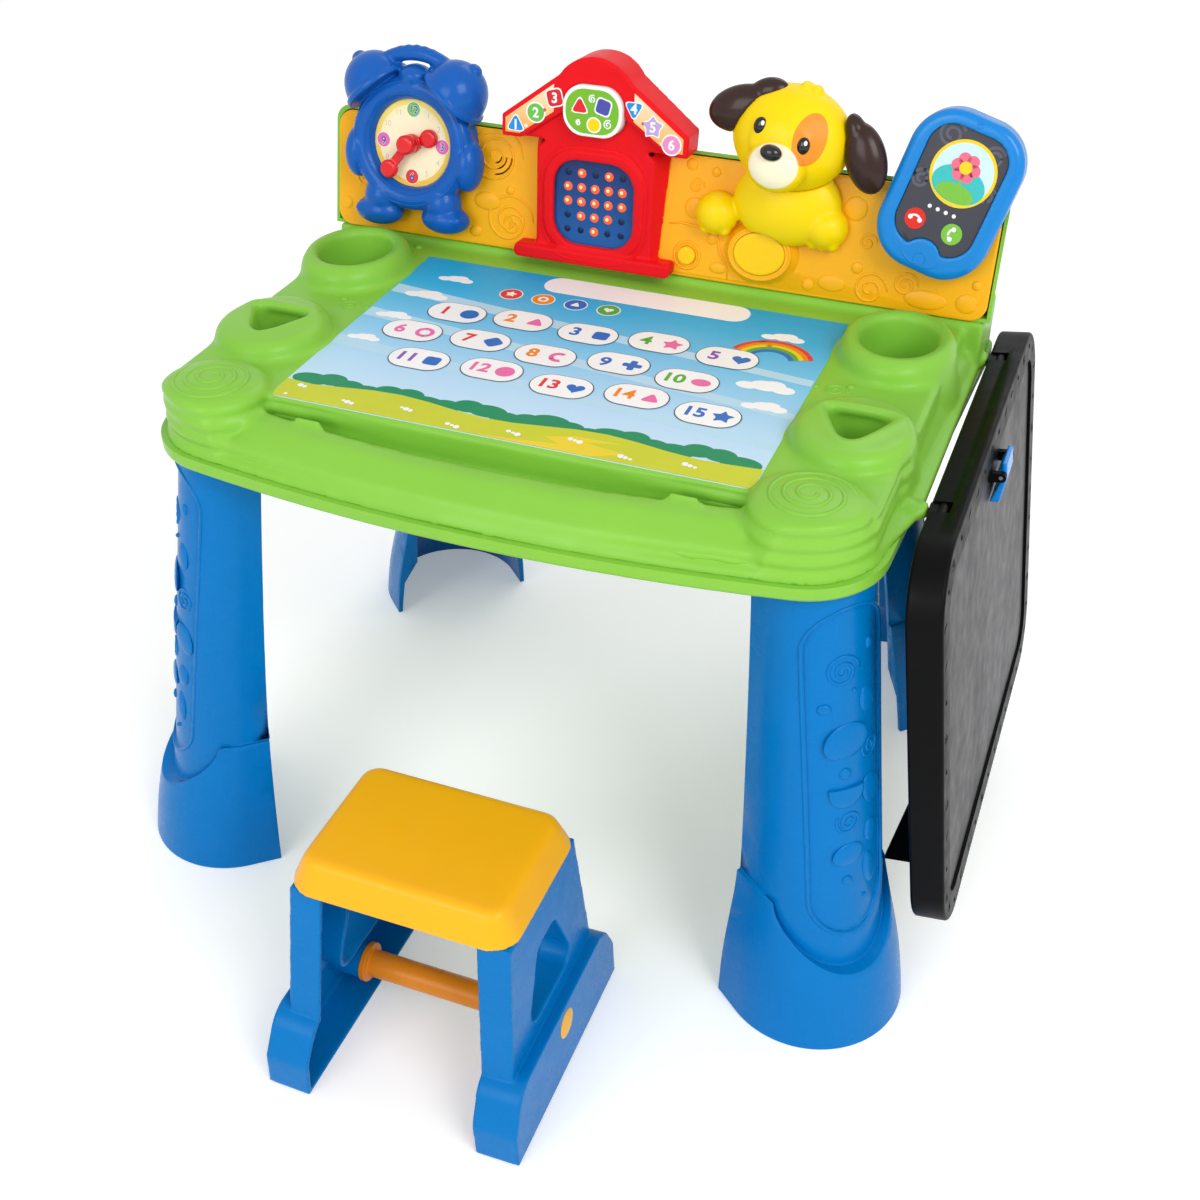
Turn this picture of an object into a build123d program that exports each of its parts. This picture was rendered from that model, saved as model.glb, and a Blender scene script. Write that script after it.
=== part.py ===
from build123d import *
import math
import os

# Driving sizes of the desk, in millimetres
DESK_WIDTH = 612.0
FRONT_WIDTH_SHARE = 0.954
DESK_HEIGHT = 450.0
SHEET_WIDTH = 388.0
SHEET_DEPTH = 280.0
FRONT_MARGIN = 73.0
BACK_MARGIN = 104.0
APRON_DEPTH = 50.0
WALL = 3.0
RUNNING_GAP = 0.3
SCREW_RADIUS = 2.0
SCREW_HEAD_RADIUS = 4.0
SCREW_HEAD_HEIGHT = 2.5

# Desk shell
FRONT_BOW = 30.0
FRONT_CORNER_RADIUS = 66.0
BACK_CORNER_RADIUS = 24.0
RIM_HEIGHT = 12.0
RIM_WALL = 6.0
RIM_ROUND = 4.0
LEG_TUCK = 7.0
APRON_INSET = 2.0
APRON_MIDDLE_INSET = 12.0
APRON_MIDDLE_SHARE = 0.55
APRON_TOP_INSET = 30.0
APRON_ROUND = 6.0
FRONT_WALL_DROP = 8.0
PLATFORM_INSET = 20.0
PLATFORM_ROUND = 5.0
SHEET_THICKNESS = 0.8
SHEET_RECESS = 1.2
PANEL_THICKNESS = 2.0
TOP_WALL = 4.0
POST_RADIUS = 7.0
POST_X_SHARE = 0.7
POST_Y_SHARE = 0.33
CORNER_LIMIT_SHARE = 0.49

# River stones with cups on the wings
STONE_X_SHARES = (0.45, 0.44, 0.38)
STONE_Y_SHARES = (0.345, -0.175, -0.53)
STONE_RADIUS_X_SHARES = (0.48, 0.47, 0.45)
STONE_RADIUS_Y_SHARES = (0.228, 0.208, 0.172)
STONE_RISES = (18.0, 15.0, 9.0)
STONE_INSET = 5.0
STONE_TAPER = 9.0
STONE_ROUND_SHARE = 0.23
CUP_SHARES = (0.58, 0.56)
CUP_DEPTH = 46.0
CUP_NARROWING = 4.0
CUP_SHOULDER_SHARE = 0.8
CUP_TIP_SHARE = 1.1
CUP_ROUND_SHARE = 0.36

# Tray channel along the front
TRAY_WIDTH = 404.0
TRAY_DEPTH = 18.0
TRAY_WALL = 15.0
TRAY_STOP_WIDTH = 24.0
TRAY_STOP_DEPTH = 5.0
TRAY_STOP_RISE = 5.0
TRAY_STOP_X_SHARE = 0.37

# Legs
LEG_INSET = 66.0
LEG_FRONT_INSET = 83.0
LEG_REAR_X_SHARE = 0.8
LEG_REAR_INSET = 52.0
LEG_FRONT_SPLAY = 50.0
LEG_REAR_SPLAY = 80.0
LEG_RADIUS = 75.0
LEG_WALL = 5.0
LEG_TAIL = 16.0
LEG_TAIL_FLARE = 12.0
LEG_FRONT_ANGLE = 40.0
LEG_REAR_ANGLE = 45.0
SHIN_HEIGHT_SHARES = (0.1, 0.35, 0.64, 1.0)
SHIN_RADIUS_SHARES = (0.76, 0.735, 0.67, 0.59)
BOOT_HEIGHT_SHARES = (0.0, 0.02, 0.12, 0.21, 0.31)
BOOT_RADIUS_SHARES = (1.0, 0.995, 0.95, 0.87, 0.79)
HOLLOW_HEIGHT_SHARES = (0.0, 0.02, 0.1, 0.165, 0.35, 0.64, 1.0)
HOLLOW_RADIUS_SHARES = (1.0, 0.995, 0.95, 0.745, 0.735, 0.67, 0.59)
TONGUE_RADIUS_SHARE = 0.72
TONGUE_HEIGHT_SHARE = 0.3
PANEL_RADIUS_SHARE = 0.44
PANEL_LOW_SHARE = 0.33
PANEL_HIGH_SHARE = 0.86
PANEL_RECESS = 2.0
LEG_CAP = 4.0

# Console at the back
CONSOLE_GAP = 30.0
CONSOLE_RISE = 6.0
CONSOLE_LEAN = 12.0
CONSOLE_INSET = 5.0
CONSOLE_HEIGHT = 103.0
CONSOLE_DEPTH = 54.0
CONSOLE_TAPER = 14.0
CONSOLE_LIP = 4.0
CONSOLE_CORNER = 14.0
FACE_THICKNESS = 4.0
FACE_ROUND = 2.0
CONSOLE_SCREW_SHARE = 0.6

# Clock
CLOCK_X = -217.0
CLOCK_Y = 84.0
DIAL_RADIUS = 38.0
CLOCK_RADIUS = 57.0
CLOCK_DEPTH = 28.0
DIAL_LEVEL = 16.0
DIAL_THICKNESS = 1.2
BELL_RADIUS = 29.0
BELL_HEIGHT = 31.0
BELL_LEAN = 40.0
BELL_RIM = 5.0
HANDLE_TUBE = 6.5
HANDLE_RISE = 76.0
HANDLE_SPAN = 42.0
HANDLE_FOOT = 58.0
CROWN_RADIUS = 15.0
FOOT_LENGTH = 46.0
FOOT_SPREAD = 30.0
FOOT_DROP = -76.0
ARM_RADIUS = 13.0
LIMB_DEPTH_SHARE = 0.6
ANKLE_WIDTH_SHARE = 1.3
ANKLE_HEIGHT_SHARE = 1.5
CROWN_HEIGHT_SHARE = 0.7
CLOCK_SHOULDER_SHARE = 0.45
SPINDLE_RADIUS = 3.0
SPINDLE_GAP = 0.06
SPINDLE_SEAT = 9.0
HAND_GAP = 0.5
HAND_LAYER = 6.5
HAND_ARM_LAYER = 4.0
HAND_ARM_WIDTH = 8.0
HUB_RADIUS = 8.5
HOUR_LENGTH = 18.0
MINUTE_LENGTH = 29.0
HOUR_ANGLE = 20.0
MINUTE_ANGLE = 232.0
HAND_ROUND_SHARE = 0.4
CAP_ROUND_SHARE = 0.8

# House
HOUSE_X = -42.0
HOUSE_LEAN = 5.0
HOUSE_WALL_HALF = 70.0
HOUSE_BASE_HALF = 73.0
HOUSE_BASE_HEIGHT = 12.0
HOUSE_EAVE_Y = 108.0
HOUSE_EAVE_HALF = 84.0
HOUSE_EAVE_RISE = 18.0
HOUSE_TOWER_HALF = 32.0
HOUSE_TOP_Y = 181.0
HOUSE_SHOULDER_Y = 164.0
HOUSE_STAND = 15.0
HOUSE_DEPTH = 46.0
HOUSE_TAPER = 20.0
HOUSE_ROOF_STAND = 6.0
ROOF_PEAK_SHARE = 0.6
WINDOW_SIZE = 74.0
WINDOW_Y = 57.0
WINDOW_ROUND = 22.0
WINDOW_FRAME = 9.0
WINDOW_FRAME_RISE = 3.0
WINDOW_THICKNESS = 2.5
LED_COUNT = 5
LED_PITCH = 12.5
LED_RADIUS = 2.5
LED_HEIGHT = 4.0
LED_BOARD_DROP = 4.6
BADGE_WIDTH = 53.0
BADGE_HEIGHT = 42.0
BADGE_Y = 138.0
BADGE_ROUND = 18.0
BADGE_STAND = 4.0
BADGE_TRAVEL = 2.5
STRIP_THICKNESS = 1.0
STRIP_MARGIN = 4.0
FLANGE_WIDTH = 3.0
FLANGE_THICKNESS = 1.5

# Dog
DOG_X = 125.0
DOG_HEAD_Y = 130.0
DOG_HEAD_RADII = (50.0, 42.0, 34.0)
DOG_HEAD_DEPTH = 16.0
DOG_ROLL = 8.0
MUZZLE_RADII = (25.0, 21.0, 17.0)
MUZZLE_OFFSET = (-1.0, -20.0, 29.0)
NOSE_RADII = (9.0, 6.5, 6.0)
NOSE_OFFSET = (-4.0, -8.5, 45.0)
EYE_RADII = (5.5, 7.0, 4.0)
EYE_OFFSETS = ((-21.0, 7.0, 30.5), (17.0, 1.0, 32.0))
EAR_LEFT_RADII = (30.0, 19.0, 12.0)
EAR_LEFT_OFFSET = (-43.0, 13.0, 8.0)
EAR_LEFT_TURN = 22.0
EAR_RIGHT_RADII = (17.0, 29.0, 12.0)
EAR_RIGHT_OFFSET = (64.0, 1.0, 8.0)
EAR_RIGHT_TURN = 30.0
DOG_BODY_RADII = (46.0, 36.0, 20.0)
DOG_BODY_Y = 76.0
PAW_RADII = (19.0, 18.0, 17.0)
PAW_PLACES = (66.0, 160.0)
PAW_Y = 60.0
PAW_LEVEL = 5.0
BUTTON_X = 107.0
BUTTON_Y = 31.0
BUTTON_RADII = (22.5, 18.0)
BUTTON_TRAVEL = 3.0
BUTTON_STAND = 2.0
MOUND_RADII = (33.0, 28.0)
MOUND_HEIGHT = 9.0
MOUND_TAPER = 35.0
SMALL_BUTTON_X = 41.0
SMALL_BUTTON_Y = 19.0
SMALL_BUTTON_RADIUS = 8.0
SMALL_BUTTON_TRAVEL = 2.0

# Phone
PHONE_X = 258.0
PHONE_Y = 101.0
PHONE_WIDTH = 94.0
PHONE_LENGTH = 130.0
PHONE_TURN = 16.0
PHONE_CORNER = 36.0
PHONE_DEPTH = 24.0
PHONE_SPLIT = 9.0
PHONE_ROUND = 7.0
SCREEN_WIDTH = 66.0
SCREEN_LENGTH = 98.0
SCREEN_CORNER = 20.0
SCREEN_LIFT = 4.0
SCREEN_LIP = 5.0
SCREEN_DROP = 3.0
SCREEN_NOTCH_RADIUS = 16.0

# Works inside the console
BOARD_THICKNESS = 1.6
MAIN_BOARD_WIDTH = 150.0
MAIN_BOARD_HEIGHT = 56.0
MAIN_BOARD_STAND = 12.0
MAIN_BOARD_X = 100.0
MAIN_BOARD_Y = 52.0
SPEAKER_RADIUS = 20.0
SPEAKER_DEPTH = 14.0
SPEAKER_X = -144.0
SPEAKER_Y = 80.0
SLOT_COUNT = 3
SLOT_WIDTH = 1.6
CELL_RADIUS = 7.2
CELL_LENGTH = 50.0
CELL_COUNT = 3
CELL_GAP = 0.6
CELL_TIP = 1.2
CELL_TIP_RADIUS = 2.6
CONTACT_THICKNESS = 0.6
CELL_Y = 52.0
DOOR_LIP = 10.0
DOOR_THICKNESS = 2.4

# Side board
SIDE_BOARD_WIDTH = 436.0
SIDE_BOARD_HEIGHT = 352.0
SIDE_BOARD_Y = 58.0
SIDE_BOARD_TILT = 7.6
SIDE_BOARD_CORNER = 52.0
HINGE_REACH = 11.0
HINGE_DROP = 35.0
HINGE_TOP = 6.5
HINGE_BACK = 9.0
BACK_SHELL_DEPTH = 13.0
FRAME_DEPTH = 14.0
FRAME_WIDTH = 24.0
FRAME_LIP = 3.0
FRAME_ROUND = 3.0
SURFACE_THICKNESS = 3.0
SURFACE_MARGIN = 8.0
HINGE_PIN_RADIUS = 2.5
HINGE_PIN_GAP = 0.06
HINGE_KNUCKLE_RADIUS = 5.5
HINGE_KNUCKLE_WIDTH = 14.0
HINGE_BLOCK = 12.0
HINGE_ARM = 8.0
HINGE_X_SHARE = 0.29
REST_LENGTH = 90.0
REST_THICKNESS = 6.0
REST_ACROSS_SHARE = 0.63
REST_HEIGHT_SHARE = 0.285
REST_GAP = 4.0
CLIP_WIDTH = 30.0
CLIP_LENGTH = 36.0
CLIP_THICKNESS = 4.0
CLIP_STAND = 7.0
CLIP_DROP = 34.0
CLIP_PIN_RADIUS = 1.6
CLIP_LUG_WIDTH = 5.0
CLIP_LUG_RADIUS = 4.0
CLIP_JAW_SHARE = 0.7
RIB_SHARES = (-0.2, 0.0, 0.2)
HINGE_PIN_SHARE = 1.6

# Stool
STOOL_X = 15.0
STOOL_Y = -316.0
STOOL_HEIGHT = 213.0
SEAT_WIDTH = 184.0
SEAT_DEPTH = 134.0
SEAT_THICKNESS = 27.0
SEAT_CORNER = 24.0
SEAT_TAPER = 24.0
SEAT_ROUND = 7.0
SEAT_WALL = 4.0
SIDE_LENGTH = 203.0
SIDE_LEAN = 2.8
SIDE_SPREAD = 62.0
UPRIGHT_THICKNESS = 26.0
SLED_THICKNESS = 36.0
SLED_HEIGHT = 66.0
SLED_TOE_SHARE = 0.83
SLED_ROUND = 24.0
UPRIGHT_FOOT_SHARE = 0.86
UPRIGHT_TOP_SHARE = 0.6
ARCH_FOOT_SHARE = 0.42
ARCH_TOP_SHARE = 0.16
ARCH_LOW_SHARE = 0.43
ARCH_HIGH_SHARE = 0.77
ARCH_ROUND_SHARE = 0.7
STOOL_WALL = 4.0
BAR_RADIUS = 11.0
BAR_HEIGHT = 48.0
BAR_SHOULDER = 70.0
BAR_END_RADIUS = 8.0
BAR_BOSS_WALL = 3.5
BAR_COLLAR_RADIUS = 16.0
BAR_COLLAR_WIDTH = 5.0

# Levels and half sizes that follow
HALF_WIDTH = DESK_WIDTH / 2
HALF_SHEET = SHEET_WIDTH / 2
FRONT_Y = -(SHEET_DEPTH / 2 + FRONT_MARGIN)
BACK_Y = SHEET_DEPTH / 2 + BACK_MARGIN
WING = HALF_WIDTH - HALF_SHEET
PLATFORM_HALF = HALF_WIDTH - PLATFORM_INSET
RIM_Z = DESK_HEIGHT - APRON_DEPTH
SEAM_Z = RIM_Z + RIM_HEIGHT
LEG_TOP_Z = RIM_Z + LEG_TUCK
BASE_TOP_Z = LEG_TOP_Z + TOP_WALL
FRONT_WALL_Z = DESK_HEIGHT - FRONT_WALL_DROP
CEILING_Z = DESK_HEIGHT - SHEET_RECESS - TOP_WALL
CAVITY_Z = FRONT_WALL_Z - WALL
SHELF_Z = DESK_HEIGHT + CONSOLE_RISE
CONSOLE_Y = SHEET_DEPTH / 2 + CONSOLE_GAP
FACE_HALF = HALF_WIDTH - CONSOLE_INSET
TRAY_Y = -(SHEET_DEPTH / 2 + PLATFORM_ROUND)
HINGE_X = HALF_WIDTH + HINGE_REACH
HINGE_Z = DESK_HEIGHT - HINGE_DROP
SEAT_LOW = STOOL_HEIGHT - SEAT_THICKNESS

# Leaning frames of the console and of the side board
LEAN = math.radians(CONSOLE_LEAN)
CONSOLE = Plane(
    origin=(0, CONSOLE_Y, SHELF_Z),
    x_dir=(1, 0, 0),
    z_dir=(0, -math.cos(LEAN), math.sin(LEAN)),
)
TILT = math.radians(SIDE_BOARD_TILT)
SIDE_BOARD = Plane(
    origin=(HINGE_X, SIDE_BOARD_Y, HINGE_Z),
    x_dir=(0, 1, 0),
    z_dir=(math.cos(TILT), 0, math.sin(TILT)),
)
LARGE = DESK_WIDTH * 2
nodes = {}


# Helpers for solids
def block(x_low, x_high, y_low, y_high, z_low, z_high):
    centre = Pos((x_low + x_high) / 2, (y_low + y_high) / 2, (z_low + z_high) / 2)
    return centre * Box(x_high - x_low, y_high - y_low, z_high - z_low)


def rise(sketch, z_low, z_high, taper=0):
    return Pos(0, 0, z_low) * extrude(sketch, amount=z_high - z_low, taper=taper)


def rod(x, y, z_low, z_high, radius):
    return Pos(x, y, (z_low + z_high) / 2) * Cylinder(radius, z_high - z_low)


def ellipsoid(centre, radii):
    ball = Sphere(radii[0])
    return Pos(*centre) * scale(ball, by=(1, radii[1] / radii[0], radii[2] / radii[0]))


def rounded(width, height, radius):
    limit = min(width, height) * CORNER_LIMIT_SHARE
    return RectangleRounded(width, height, min(radius, limit))


def screw(x, y, z_head, length):
    shank = rod(x, y, z_head, z_head + length, SCREW_RADIUS)
    head = rod(x, y, z_head - SCREW_HEAD_HEIGHT, z_head, SCREW_HEAD_RADIUS)
    return shank + head


def on_console(shape):
    return CONSOLE.location * shape


def on_side_board(shape):
    return SIDE_BOARD.location * shape


# Plan of the desk, drawn in from the rim by an inset
def plan(inset):
    half = HALF_WIDTH - inset
    front_half = HALF_WIDTH * FRONT_WIDTH_SHARE - inset
    front = FRONT_Y + inset
    side_front = front + FRONT_BOW
    back = BACK_Y - inset
    bow = ThreePointArc((-front_half, side_front), (0, front), (front_half, side_front))
    right = Line((front_half, side_front), (half, back))
    rear = Line((half, back), (-half, back))
    left = Line((-half, back), (-front_half, side_front))
    face = make_face([bow, right, rear, left])
    face = fillet(face.vertices().group_by(Axis.Y)[-1], BACK_CORNER_RADIUS - inset / 2)
    face = fillet(face.vertices().group_by(Axis.Y)[0], FRONT_CORNER_RADIUS - inset / 2)
    return face


# Lower frame of the desk
def desk_base():
    body = rise(plan(0), RIM_Z, SEAM_Z)
    body = fillet(body.faces().sort_by(Axis.Z)[0].edges(), RIM_ROUND)
    body -= rise(plan(RIM_WALL), BASE_TOP_Z, SEAM_Z)
    body -= rise(plan(RIM_WALL), RIM_Z, LEG_TOP_Z)
    for x, y in leg_tops():
        body -= rod(x, y, RIM_Z, SEAM_Z, SCREW_RADIUS + RUNNING_GAP)
    for x, y in post_places():
        body -= rod(x, y, RIM_Z, SEAM_Z, SCREW_RADIUS + RUNNING_GAP)
    return body


def leg_tops():
    front_x = HALF_WIDTH - LEG_INSET
    rear_x = front_x * LEG_REAR_X_SHARE
    front_y = FRONT_Y + LEG_FRONT_INSET
    rear_y = BACK_Y - LEG_REAR_INSET
    return [(-front_x, front_y), (front_x, front_y), (-rear_x, rear_y), (rear_x, rear_y)]


def post_places():
    x = HALF_SHEET * POST_X_SHARE
    y = SHEET_DEPTH * POST_Y_SHARE
    return [(-x, -y), (x, -y), (-x, y), (x, y)]


# Cups and stones of one wing, on the right side
def stone_place(index):
    x = HALF_SHEET + WING * STONE_X_SHARES[index]
    return Pos(x, SHEET_DEPTH * STONE_Y_SHARES[index])


def stone(index):
    radius_x = WING * STONE_RADIUS_X_SHARES[index]
    radius_y = SHEET_DEPTH * STONE_RADIUS_Y_SHARES[index]
    top = DESK_HEIGHT + STONE_RISES[index]
    body = rise(stone_place(index) * Ellipse(radius_x, radius_y), SEAM_Z, top, STONE_TAPER)
    tightest = radius_x**2 / radius_y
    body = fillet(body.faces().sort_by(Axis.Z)[-1].edges(), tightest * STONE_ROUND_SHARE)
    return body & rise(plan(STONE_INSET), SEAM_Z, top)


def cup_sketch(index, grow):
    radius_x = WING * STONE_RADIUS_X_SHARES[index] * CUP_SHARES[index] + grow
    radius_y = SHEET_DEPTH * STONE_RADIUS_Y_SHARES[index] * CUP_SHARES[index] + grow
    if index == 0:
        return Ellipse(radius_x, radius_y)
    shoulder = radius_y * CUP_SHOULDER_SHARE
    tip = -radius_y * CUP_TIP_SHARE
    face = make_face(Polyline((radius_x, shoulder), (-radius_x, shoulder), (0, tip), close=True))
    return fillet(face.vertices(), radius_x * CUP_ROUND_SHARE)


def cup(index, grow):
    top = DESK_HEIGHT + STONE_RISES[index]
    low = Pos(0, 0, top - CUP_DEPTH - grow) * cup_sketch(index, grow - CUP_NARROWING)
    mouth = Pos(0, 0, top) * cup_sketch(index, grow)
    return stone_place(index) * loft([low, mouth], ruled=True)


def both_sides(shape):
    return [shape, mirror(shape, about=Plane.YZ)]


def tray_sketch(grow):
    depth = TRAY_Y + grow - FRONT_Y
    band = Pos(0, FRONT_Y + depth / 2) * Rectangle(TRAY_WIDTH + grow * 2, depth)
    return plan(APRON_TOP_INSET + TRAY_WALL - grow) & band


# Sloping apron, drawn in by a wall
def apron(inset, top):
    height = FRONT_WALL_Z - SEAM_Z
    middle = SEAM_Z + height * APRON_MIDDLE_SHARE
    sections = [
        Pos(0, 0, SEAM_Z) * plan(APRON_INSET + inset),
        Pos(0, 0, middle - inset / 2) * plan(APRON_MIDDLE_INSET + inset),
        Pos(0, 0, top) * plan(APRON_TOP_INSET + inset),
    ]
    return loft(sections, ruled=True)


def desk_cavity():
    cavity = apron(WALL, CAVITY_Z)
    half = HALF_SHEET + WALL
    depth = SHEET_DEPTH / 2
    cavity += block(-half, half, -depth, depth + WALL, SEAM_Z, CEILING_Z)
    for index in range(len(CUP_SHARES)):
        for well in both_sides(cup(index, WALL)):
            cavity -= well
    cavity -= rise(tray_sketch(WALL), FRONT_WALL_Z - TRAY_DEPTH - WALL, DESK_HEIGHT)
    for x, y in post_places():
        cavity -= rod(x, y, SEAM_Z, CEILING_Z, POST_RADIUS)
    return cavity


# Upper shell of the desk
def desk_top():
    body = apron(0, FRONT_WALL_Z)
    body = fillet(body.faces().sort_by(Axis.Z)[-1].edges(), APRON_ROUND)
    rear = BACK_Y - PLATFORM_INSET
    body += block(-PLATFORM_HALF, PLATFORM_HALF, TRAY_Y, rear, SEAM_Z, DESK_HEIGHT)
    shelf_rear = BACK_Y - PLATFORM_ROUND
    body += block(-FACE_HALF, FACE_HALF, CONSOLE_Y - CONSOLE_LIP, shelf_rear, SEAM_Z, SHELF_Z)
    for index in range(len(STONE_RISES)):
        for piece in both_sides(stone(index)):
            body += piece
    half = HINGE_KNUCKLE_WIDTH / 2
    for y in hinge_places():
        pad_top = HINGE_Z + HINGE_KNUCKLE_RADIUS
        body += block(PLATFORM_HALF, hinge_pad_x(), y - half, y + half, SEAM_Z, pad_top)
    body -= desk_cavity()
    body -= rise(tray_sketch(0), FRONT_WALL_Z - TRAY_DEPTH, DESK_HEIGHT)
    for index in range(len(CUP_SHARES)):
        for well in both_sides(cup(index, 0)):
            body -= well
    half = HALF_SHEET + RUNNING_GAP
    depth = SHEET_DEPTH / 2 + RUNNING_GAP
    body -= block(-half, half, -depth, depth, DESK_HEIGHT - SHEET_RECESS, SHELF_Z)
    stop_y = FRONT_Y + FRONT_BOW * TRAY_STOP_X_SHARE + APRON_TOP_INSET + TRAY_WALL
    stop_low = FRONT_WALL_Z - TRAY_DEPTH - WALL
    half = TRAY_STOP_WIDTH / 2
    for side in (-1, 1):
        x = side * TRAY_WIDTH * TRAY_STOP_X_SHARE
        stop_top = FRONT_WALL_Z + TRAY_STOP_RISE
        body += block(x - half, x + half, stop_y - TRAY_STOP_DEPTH, stop_y, stop_low, stop_top)
    for x, y in post_places():
        body += rod(x, y, BASE_TOP_Z, SEAM_Z, POST_RADIUS)
        body -= rod(x, y, BASE_TOP_Z, CEILING_Z - PANEL_THICKNESS - WALL, SCREW_RADIUS + RUNNING_GAP)
    for x, y in console_screw_places():
        body -= rod(x, y, CAVITY_Z, SHELF_Z, SCREW_RADIUS + RUNNING_GAP)
    return body


def hinge_pad_x():
    return HINGE_X - HINGE_KNUCKLE_RADIUS - HINGE_BACK / 2


def hinge_places():
    reach = SIDE_BOARD_WIDTH * HINGE_X_SHARE
    return [SIDE_BOARD_Y - reach, SIDE_BOARD_Y + reach]


# Touch panel under the top and the printed sheet on it
def touch_panel():
    plate = Rectangle(SHEET_WIDTH, SHEET_DEPTH)
    for x, y in post_places():
        plate -= Pos(x, y) * Circle(POST_RADIUS + RUNNING_GAP)
    return rise(plate, CEILING_Z - PANEL_THICKNESS, CEILING_Z)


def activity_sheet():
    low = DESK_HEIGHT - SHEET_RECESS + RUNNING_GAP
    return rise(Rectangle(SHEET_WIDTH, SHEET_DEPTH), low, low + SHEET_THICKNESS)


# One leg, leaning outwards along its own X
def leg_section(splay, height_share, radius, reach):
    centre = splay * (1 - height_share)
    tail = centre - LEG_TAIL - LEG_TAIL_FLARE * (1 - height_share) ** 3 - reach
    arc = ThreePointArc((centre, radius), (centre + radius, 0), (centre, -radius))
    lower = Line((centre, -radius), (tail, -radius))
    chord = Line((tail, -radius), (tail, radius))
    upper = Line((tail, radius), (centre, radius))
    return Pos(0, 0, LEG_TOP_Z * height_share) * make_face([arc, lower, chord, upper])


def leg_form(splay, height_shares, radius_shares, shrink, reach, ruled=False):
    sections = []
    for height_share, radius_share in zip(height_shares, radius_shares):
        radius = LEG_RADIUS * radius_share - shrink
        sections.append(leg_section(splay, height_share, radius, reach))
    return loft(sections, ruled=ruled)


def leg(splay):
    body = leg_form(splay, BOOT_HEIGHT_SHARES, BOOT_RADIUS_SHARES, 0, 0)
    tongue_radius = LEG_RADIUS * TONGUE_RADIUS_SHARE
    tongue = Circle(tongue_radius)
    tongue += Pos(0, tongue_radius) * Rectangle(tongue_radius * 2, tongue_radius * 2)
    tongue_z = LEG_TOP_Z * TONGUE_HEIGHT_SHARE
    side = Plane(origin=(splay / 2, 0, tongue_z), x_dir=(0, 1, 0), z_dir=(1, 0, 0))
    body -= extrude(side * tongue, amount=splay + LEG_RADIUS)
    panel_radius = LEG_RADIUS * PANEL_RADIUS_SHARE
    low = LEG_TOP_Z * PANEL_LOW_SHARE
    high = LEG_TOP_Z * PANEL_HIGH_SHARE
    panel = Pos(0, (low + high) / 2) * SlotCenterToCenter(high - low, panel_radius * 2, rotation=90)
    front = Plane(origin=(splay / 4, 0, 0), x_dir=(0, 1, 0), z_dir=(1, 0, 0))
    recess = extrude(front * panel, amount=splay + LEG_RADIUS)
    recess -= leg_form(splay, SHIN_HEIGHT_SHARES, SHIN_RADIUS_SHARES, PANEL_RECESS, 0)
    body += leg_form(splay, SHIN_HEIGHT_SHARES, SHIN_RADIUS_SHARES, 0, 0)
    body -= recess
    hollow_shares = (HOLLOW_HEIGHT_SHARES, HOLLOW_RADIUS_SHARES)
    body -= leg_form(splay, *hollow_shares, LEG_WALL, LEG_RADIUS, True)
    cap = leg_section(splay, 1, LEG_RADIUS * SHIN_RADIUS_SHARES[-1] - LEG_WALL / 2, 0)
    body += extrude(cap, amount=-LEG_CAP)
    return body - rod(0, 0, 0, LEG_TOP_Z + LEG_CAP, SCREW_RADIUS + RUNNING_GAP)


def place_legs():
    names = ("front_left", "front_right", "rear_left", "rear_right")
    angles = (LEG_FRONT_ANGLE - 180, -LEG_FRONT_ANGLE, 180 - LEG_REAR_ANGLE, LEG_REAR_ANGLE)
    front = leg(LEG_FRONT_SPLAY)
    rear = leg(LEG_REAR_SPLAY)
    screws = []
    for name, angle, top, shape in zip(names, angles, leg_tops(), (front, front, rear, rear)):
        nodes[f"leg_{name}"] = Pos(*top) * Rot(0, 0, angle) * shape
        screws.append(screw(*top, LEG_TOP_Z - LEG_CAP, LEG_CAP + TOP_WALL))
    nodes["leg_screws"] = Compound(children=screws)


def case_screws():
    length = CEILING_Z - PANEL_THICKNESS - WALL - LEG_TOP_Z
    return Compound(children=[screw(x, y, LEG_TOP_Z, length) for x, y in post_places()])


# Trimming solids for pieces that sit on the console
def below(level):
    return block(-LARGE, LARGE, -LARGE, LARGE, level - LARGE, level)


def behind_face():
    return on_console(block(-LARGE, LARGE, -LARGE, LARGE, -LARGE, FACE_THICKNESS))


# Console shells and the works between them
def console_form(inset, depth):
    height = CONSOLE_HEIGHT + CONSOLE_LIP + CONSOLE_DEPTH
    width = (FACE_HALF + CONSOLE_LIP) * 2
    outline = rounded(width - inset * 2, height - inset * 2, CONSOLE_CORNER)
    outline = Pos(0, CONSOLE_HEIGHT + CONSOLE_LIP - height / 2) * outline
    return on_console(extrude(outline, amount=-depth, taper=CONSOLE_TAPER))


def cell_box(grow, depth):
    width = CELL_LENGTH + CELL_TIP + CONTACT_THICKNESS * 2 + grow * 2
    height = CELL_COUNT * (CELL_RADIUS * 2 + CELL_GAP) + CELL_GAP + grow * 2
    return on_console(Pos(0, CELL_Y, depth / 2 - CONSOLE_DEPTH) * Box(width, height, depth))


def door_screw_y():
    return CELL_Y + CELL_COUNT * (CELL_RADIUS + CELL_GAP / 2) + DOOR_LIP / 2


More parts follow.
